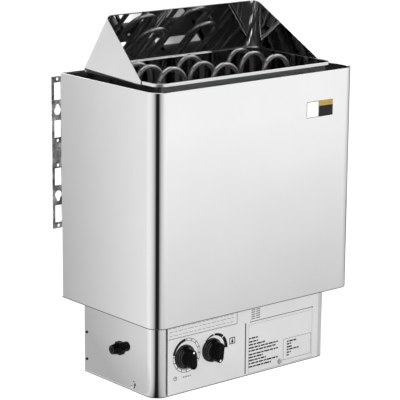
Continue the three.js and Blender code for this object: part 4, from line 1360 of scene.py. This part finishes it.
class HEATER_OT_screws(Step):
    """Make the screw heads with their cross recesses"""

    bl_idname = "heater.screws"
    bl_label = "Screws"

    # Radius and height of the collars and their hollows, at the sides and at the front
    COLLAR = ((6.6, 0), (6.2, 0.9), (5.8, 1.4), (5.5, 1.3))
    HOLLOW = ((5.5, 1.3), (4.9, 0.5), (4.2, 0.1), (3.4, 0.06))
    FRONT_COLLAR = ((4.9, 0), (4.8, 0.2), (4.6, 0.3))
    FRONT_HOLLOW = ((4.6, 0.3), (4.2, 0.15), (3.4, 0.06))
    # Painted shade: the way to the hollow's shaded side, and how near to it a face must lie
    SHADE_SIDE = Vector((0, -1, -0.3))
    FRONT_SHADE_SIDE = Vector((-1, 0, -0.6))
    SHADE_SHARE = 0.35
    # Rise of the head, radius of the shank and of the flat top, in millimetres
    SMALL_HEAD = (1.5, 1.2, 1.2)
    LARGE_HEAD = (2.4, 1.8, 1.9)

    def build(self, settings):
        for name in SLOTS:
            if "screw" not in name:
                continue
            low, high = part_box(name)
            size = high - low
            centre = (low + high) / 2
            if size.x > size.y:
                outward = LEFT if centre.x < 0 else RIGHT
            else:
                outward = REAR if centre.y > 0 else FRONT
            whole = max(size)
            bm = bmesh.new()
            self.head(bm, min(size) / 2, whole, pointing(centre - outward * whole / 2, outward))
            cupped = name.startswith("cover_screw")
            finish = "mirror_steel" if cupped else SLOTS[name]
            add_piece(f"{name}_head", bm, finish, stands_for=[name])
            if cupped:
                self.cup(name, centre, outward)

    def cup(self, name, centre, outward):
        """The pressed collar round a screw of the cover, with painted shade on one side of its
        hollow.
        """
        seat = centre.copy()
        if outward == FRONT:
            seat.y = PANEL_LOW.y
            collar, hollow, dark = self.FRONT_COLLAR, self.FRONT_HOLLOW, self.FRONT_SHADE_SIDE
        else:
            seat.x = BOX_LOW.x if outward == LEFT else BOX_HIGH.x
            collar, hollow, dark = self.COLLAR, self.HOLLOW, self.SHADE_SIDE
        place = pointing(seat, outward)
        for part, profile in (("collar", collar), ("hollow", hollow)):
            bm = bmesh.new()
            points = [(radius * MM, height * MM) for radius, height in profile]
            lathe(bm, points, place, steps=40)
            for face in bm.faces:
                aim = (face.calc_center_median() - seat).normalized()
                # Faces on the hollow's shaded side get black paint as their shade
                if part == "hollow" and aim.dot(dark) > self.SHADE_SHARE:
                    face.material_index = 1
            add_piece(f"{name}_{part}", bm, "mirror_steel", second="black_steel")

    def head(self, bm, radius, whole, place):
        sizes = self.SMALL_HEAD if radius < 3 * MM else self.LARGE_HEAD
        rise, shank, recess = (size * MM for size in sizes)
        under = whole - rise
        profile = [
            (0, 0),
            (shank, 0.3 * MM),
            (shank, under),
            (radius - 0.2 * MM, under),
            (radius, under + 0.1 * rise),
            (radius - 0.05 * MM, under + 0.4 * rise),
            (radius * 0.86, under + 0.7 * rise),
            (radius * 0.68, under + 0.9 * rise),
            (recess, whole),
        ]
        lathe(bm, profile, Matrix.Identity(4), steps=32)
        rim = [e for e in bm.edges if e.is_boundary and all(v.co.z > under for v in e.verts)]
        bmesh.ops.holes_fill(bm, edges=rim, sides=0)
        arm = 0.3 * recess
        for axis in (RIGHT, REAR):
            for way in (1, -1):
                flat = self.top(bm, whole)
                geom = flat + list({e for f in flat for e in f.edges})
                geom += list({v for f in flat for v in f.verts})
                bmesh.ops.bisect_plane(bm, geom=geom, plane_co=axis * arm * way, plane_no=axis)
        centres = {face: face.calc_center_median() for face in self.top(bm, whole)}
        cross = [face for face, at in centres.items() if min(abs(at.x), abs(at.y)) < arm]
        push_out(bm, cross, UP * -0.5 * rise)
        bmesh.ops.delete(bm, geom=cross, context="FACES")
        bmesh.ops.transform(bm, matrix=place, verts=bm.verts)

    def top(self, bm, height):
        return [face for face in bm.faces if face.calc_center_median().z > height - NEAR]


class HEATER_OT_plate(Step):
    """Lay the small blank plate on the casing's front"""

    bl_idname = "heater.plate"
    bl_label = "Blank plate"

    # Name, finish, slot, thickness, then left, low, right and high, in millimetres
    FIELDS = (
        ("light_edge", "grey_ink", "printed_panel", 0.1, (98.5, 414.0, 124.3, 440.0)),
        ("light_field", "plate_white", "white_plastic", 0.16, (99.4, 414.9, 123.4, 439.1)),
        ("gold_band", "plate_gold", "printed_panel", 0.16, (124.7, 431.6, 154.8, 440.0)),
        ("dark_field", "plate_dark", "printed_panel", 0.16, (124.7, 414.0, 154.8, 431.4)),
    )
    CORNER = 0.6 * MM

    def build(self, settings):
        for name, finish, slot, thick, corners in self.FIELDS:
            bm = bmesh.new()
            slab(bm, *corners, CASING_LOW.y, thick * MM)
            near = [e for e in bm.edges if abs(e.verts[0].co.y - e.verts[1].co.y) > NEAR]
            round_off(bm, near, self.CORNER, 4)
            add_piece(f"plate_{name}", bm, finish)


def facing(place):
    """Turn and place of a lamp or card that looks at the heater's middle."""
    aim = Vector((0, 0, 0.3)) - Vector(place)
    return Matrix.Translation(place) @ aim.to_track_quat("-Z", "Y").to_matrix().to_4x4()


def pane(start, end):
    """Corners of a level or upright card between two opposite corners."""
    (x0, y0, z0), (x1, y1, z1) = start, end
    if z0 == z1:
        return [(x0, y0, z0), (x1, y0, z0), (x1, y1, z0), (x0, y1, z0)]
    return [(x0, y0, z0), (x1, y1, z0), (x1, y1, z1), (x0, y0, z1)]


class HEATER_OT_stage(Step):
    """Set the camera, the floor, the lights and the backdrop"""

    bl_idname = "heater.stage"
    bl_label = "Stage"

    FLOOR_RADIUS = 7
    FLOOR_DEPTH = -0.4 * MM
    CARD_LIFT = 0.5 * MM
    CARD_TOP = 0.45
    GRATE_GLOW = 0.166  # Height of the glowing strips over the grate
    KEY_PLACE = (-2.2, -1.6, 2.6)
    KEY_SIZE = 1.6
    # Name, place, size, power and whether mirrors show the lamp
    LAMPS = (
        ("key_light", KEY_PLACE, KEY_SIZE, 70, False),
        ("fill_light", (2.4, -2.0, 2.2), 3.0, 34, False),
        ("front_light", (-1.2, -2.4, 0.5), 1.6, 12, False),
        ("rear_light", (0.6, 2.4, 2.6), 2.4, 40, True),
        ("top_light", (0.0, 0.0, 2.4), 1.6, 14, True),
    )
    # Name, place, size and level of the cards that stand in for lamps in mirrors
    GLOWS = (("key_glow", KEY_PLACE, KEY_SIZE, 1.4), ("rim_glow", (1.35, -0.6, 1.9), 1.3, 2.6))

    def build(self, settings):
        stage = settings.stage
        self.camera(stage)
        self.floor(stage)
        self.cards()
        self.lights()
        self.world(stage)
        bpy.context.scene.view_settings.view_transform = "Standard"

    def camera(self, stage):
        data = bpy.data.cameras.new("camera")
        data.lens = stage.lens
        data.sensor_width = 36
        data.clip_end = 100
        turn = Matrix.Rotation(-stage.yaw, 4, "Z") @ Matrix.Rotation(QUARTER - stage.pitch, 4, "X")
        view = add_object("camera", data)
        view.matrix_world = (
            Matrix.Translation(stage.eye) @ turn @ Matrix.Rotation(stage.roll, 4, "Z")
        )
        bpy.context.scene.camera = view

    def floor(self, stage):
        """A pale floor; mirrors show it darker near the heater and along a line."""
        bm = bmesh.new()
        bmesh.ops.create_circle(bm, cap_ends=True, radius=self.FLOOR_RADIUS, segments=96)
        bmesh.ops.translate(bm, vec=UP * self.FLOOR_DEPTH, verts=bm.verts)
        floor = add_object("floor", mesh_from("floor", bm))
        material = bpy.data.materials.new("pale_floor")
        tree = bare_tree(material)
        place = add_node(tree, "TexCoord").outputs["Object"]
        level = calculate(
            tree, "MULTIPLY", self.floor_level(tree, place), self.floor_line(tree, place, stage)
        )
        plain = add_node(tree, "BsdfDiffuse", Color=stage.floor)
        mirrored = add_node(tree, "Emission", Strength=level)
        pale = add_node(tree, "BsdfDiffuse", Color=rgb(0.22))
        white = add_node(tree, "Emission", Strength=0.90)
        seen = add_node(tree, "AddShader", pale, white)
        show_by_ray(tree, "OutputMaterial", plain, mirrored, seen)
        floor.data.materials.append(material)

    def floor_level(self, tree, place):
        """Brightness that grows ahead of the heater and drops across to the right."""
        spot = add_node(tree, "SeparateXYZ", place).outputs
        ahead = remap(tree, spot["Y"], -0.121, -1.957)
        grow = grey_ramp(
            tree, ahead, (0.0, 0.66), (0.21, 0.785), (0.42, 0.885), (0.63, 0.965), (0.9, 1.04)
        )
        slide = calculate(tree, "MULTIPLY_ADD", ahead, -1.548, spot["X"])
        across = remap(tree, slide, -0.178, 0.178)
        drop = calculate(tree, "MULTIPLY", across, remap(tree, ahead, 0.0, 0.66, 0.085, 0.0))
        level = calculate(tree, "SUBTRACT", grow, drop)
        left = remap(tree, spot["X"], -0.15, -0.25)
        return blend(tree, left, level, 0.98, data_type="FLOAT")

    def floor_line(self, tree, place, stage):
        """The dark line that widens away from the heater's corner."""
        away = add_node(tree, "VectorMath", place, stage.corner, operation="SUBTRACT")
        return grey_ramp(
            tree, bearing(tree, away, stage.wedge), (0.0, 0.012), (0.05, 0.015), (0.08, 0.18),
            (0.115, 0.45), (0.19, 0.74), (0.28, 0.93), (0.37, 1.0),
        )

    def cards(self):
        """Shaded cards that only the polished sheets see."""
        wall = pane((-0.325, -0.06, 0), (-0.325, 0.42, 0.5))
        foot = pane((-0.325, -0.06, 0), (-0.185, 0.42, 0))
        light, dim, middle = (0.98, 0.98), (0.48, 0.48), (0.48, 0.64)
        self.card("left_card", [wall], (1.2, 1, 0), (-0.41, -0.11), light, middle)
        self.card("left_foot", [foot], (1.9, 1, 0), (-0.6375, -0.3375), light, dim)
        wall = pane((0.24, 0.14, 0), (1.3, 0.14, 0.6))
        foot = pane((0.24, 0.14, 0), (1.3, 0.0, 0))
        self.even_card("right_card", [wall, foot], 0.1)
        height = self.GRATE_GLOW
        strips = [
            pane((left, low, height), (right, high, height))
            for left, right, low, high in (
                (-0.04, 0.066, -0.058, -0.042),
                (0.125, 0.16, -0.0545, -0.042),
                (-0.04, 0.128, 0.001, 0.019),
            )
        ]
        self.card("grate_glow", strips, RIGHT, (0.02, 0.12), (0.5, 0.5), (2.0, 2.0))
        for name, place, size, level in self.GLOWS:
            corners = pane((-size / 2, -size / 2, 0), (size / 2, size / 2, 0))
            self.even_card(name, [[facing(place) @ Vector(at) for at in corners]], level)

    def even_card(self, name, quads, level):
        self.card(name, quads, RIGHT, (0, 1), (level, level), (level, level))

    def card(self, name, quads, along, span, near, far):
        """A glowing card: its levels at both ends of a span along a direction, low and high up."""
        bm = bmesh.new()
        for quad in quads:
            bm.faces.new([bm.verts.new(Vector(at) + UP * self.CARD_LIFT) for at in quad])
        card = add_object(name, mesh_from(name, bm))
        material = bpy.data.materials.new(name)
        tree = bare_tree(material)
        place = add_node(tree, "TexCoord").outputs["Object"]
        height = add_node(tree, "SeparateXYZ", place).outputs["Z"]
        reach = add_node(tree, "VectorMath", place, along, operation="DOT_PRODUCT")
        levels = [remap(tree, height, 0.0, self.CARD_TOP, *ends) for ends in (near, far)]
        glow = remap(tree, reach.outputs["Value"], *span, *levels)
        add_node(tree, "OutputMaterial", Surface=add_node(tree, "Emission", Strength=glow))
        card.data.materials.append(material)
        card.visible_camera = False
        card.visible_diffuse = False
        card.visible_shadow = False
        card.visible_transmission = False

    def lights(self):
        for name, place, size, power, mirrored in self.LAMPS:
            data = bpy.data.lights.new(name, "AREA")
            data.energy = power
            data.size = size
            lamp = add_object(name, data)
            lamp.visible_glossy = mirrored
            lamp.matrix_world = facing(place)

    def world(self, stage):
        """Plain light, a white backdrop and a room that darkens upwards in mirrors."""
        world = bpy.data.worlds.new("studio")
        bpy.context.scene.world = world
        tree = bare_tree(world)
        place = add_node(tree, "TexCoord").outputs["Generated"]
        rise = add_node(tree, "SeparateXYZ", place).outputs["Z"]
        room = grey_ramp(
            tree, rise, (0.0, 0.85), (0.18, 0.82), (0.34, 0.62), (0.5, 0.10), (1.0, 0.03)
        )
        away = bearing(tree, place, stage.wedge)
        dim = grey_ramp(tree, away, (0.0, 0.15), (0.1, 0.2), (0.25, 1.0))
        dimmed = blend(tree, 1.0, out(room), out(dim), blend_type="MULTIPLY")
        backgrounds = [
            add_node(tree, "Background", Color=shown)
            for shown in (rgb(0.62, 0.62, 0.63), dimmed, rgb(1.0))
        ]
        show_by_ray(tree, "OutputWorld", *backgrounds)


STEPS = (
    HEATER_OT_stage,
    HEATER_OT_finishes,
    HEATER_OT_casing,
    HEATER_OT_stone_box,
    HEATER_OT_reflector,
    HEATER_OT_elements,
    HEATER_OT_lower_box,
    HEATER_OT_brackets,
    HEATER_OT_panel_print,
    HEATER_OT_knobs,
    HEATER_OT_gland,
    HEATER_OT_screws,
    HEATER_OT_plate,
)


class HEATER_PT_build(Panel):
    """Lists the steps that build the heater"""

    bl_label = "Sauna Heater"
    bl_space_type = "VIEW_3D"
    bl_region_type = "UI"
    bl_category = "Heater"

    def draw(self, context):
        for step in STEPS:
            self.layout.operator(step.bl_idname)


CLASSES = (
    SheetSettings,
    HoodSettings,
    ElementSettings,
    BracketSettings,
    ControlSettings,
    FinishSettings,
    StageSettings,
    HeaterSettings,
    *STEPS,
    HEATER_PT_build,
)


def register():
    for item in CLASSES:
        bpy.utils.register_class(item)
    bpy.types.Scene.heater = PointerProperty(type=HeaterSettings)


def unregister():
    del bpy.types.Scene.heater
    for item in reversed(CLASSES):
        bpy.utils.unregister_class(item)


def main():
    register()
    for step in STEPS:
        group, name = step.bl_idname.split(".")
        getattr(getattr(bpy.ops, group), name)()


if __name__ == "__main__":
    main()
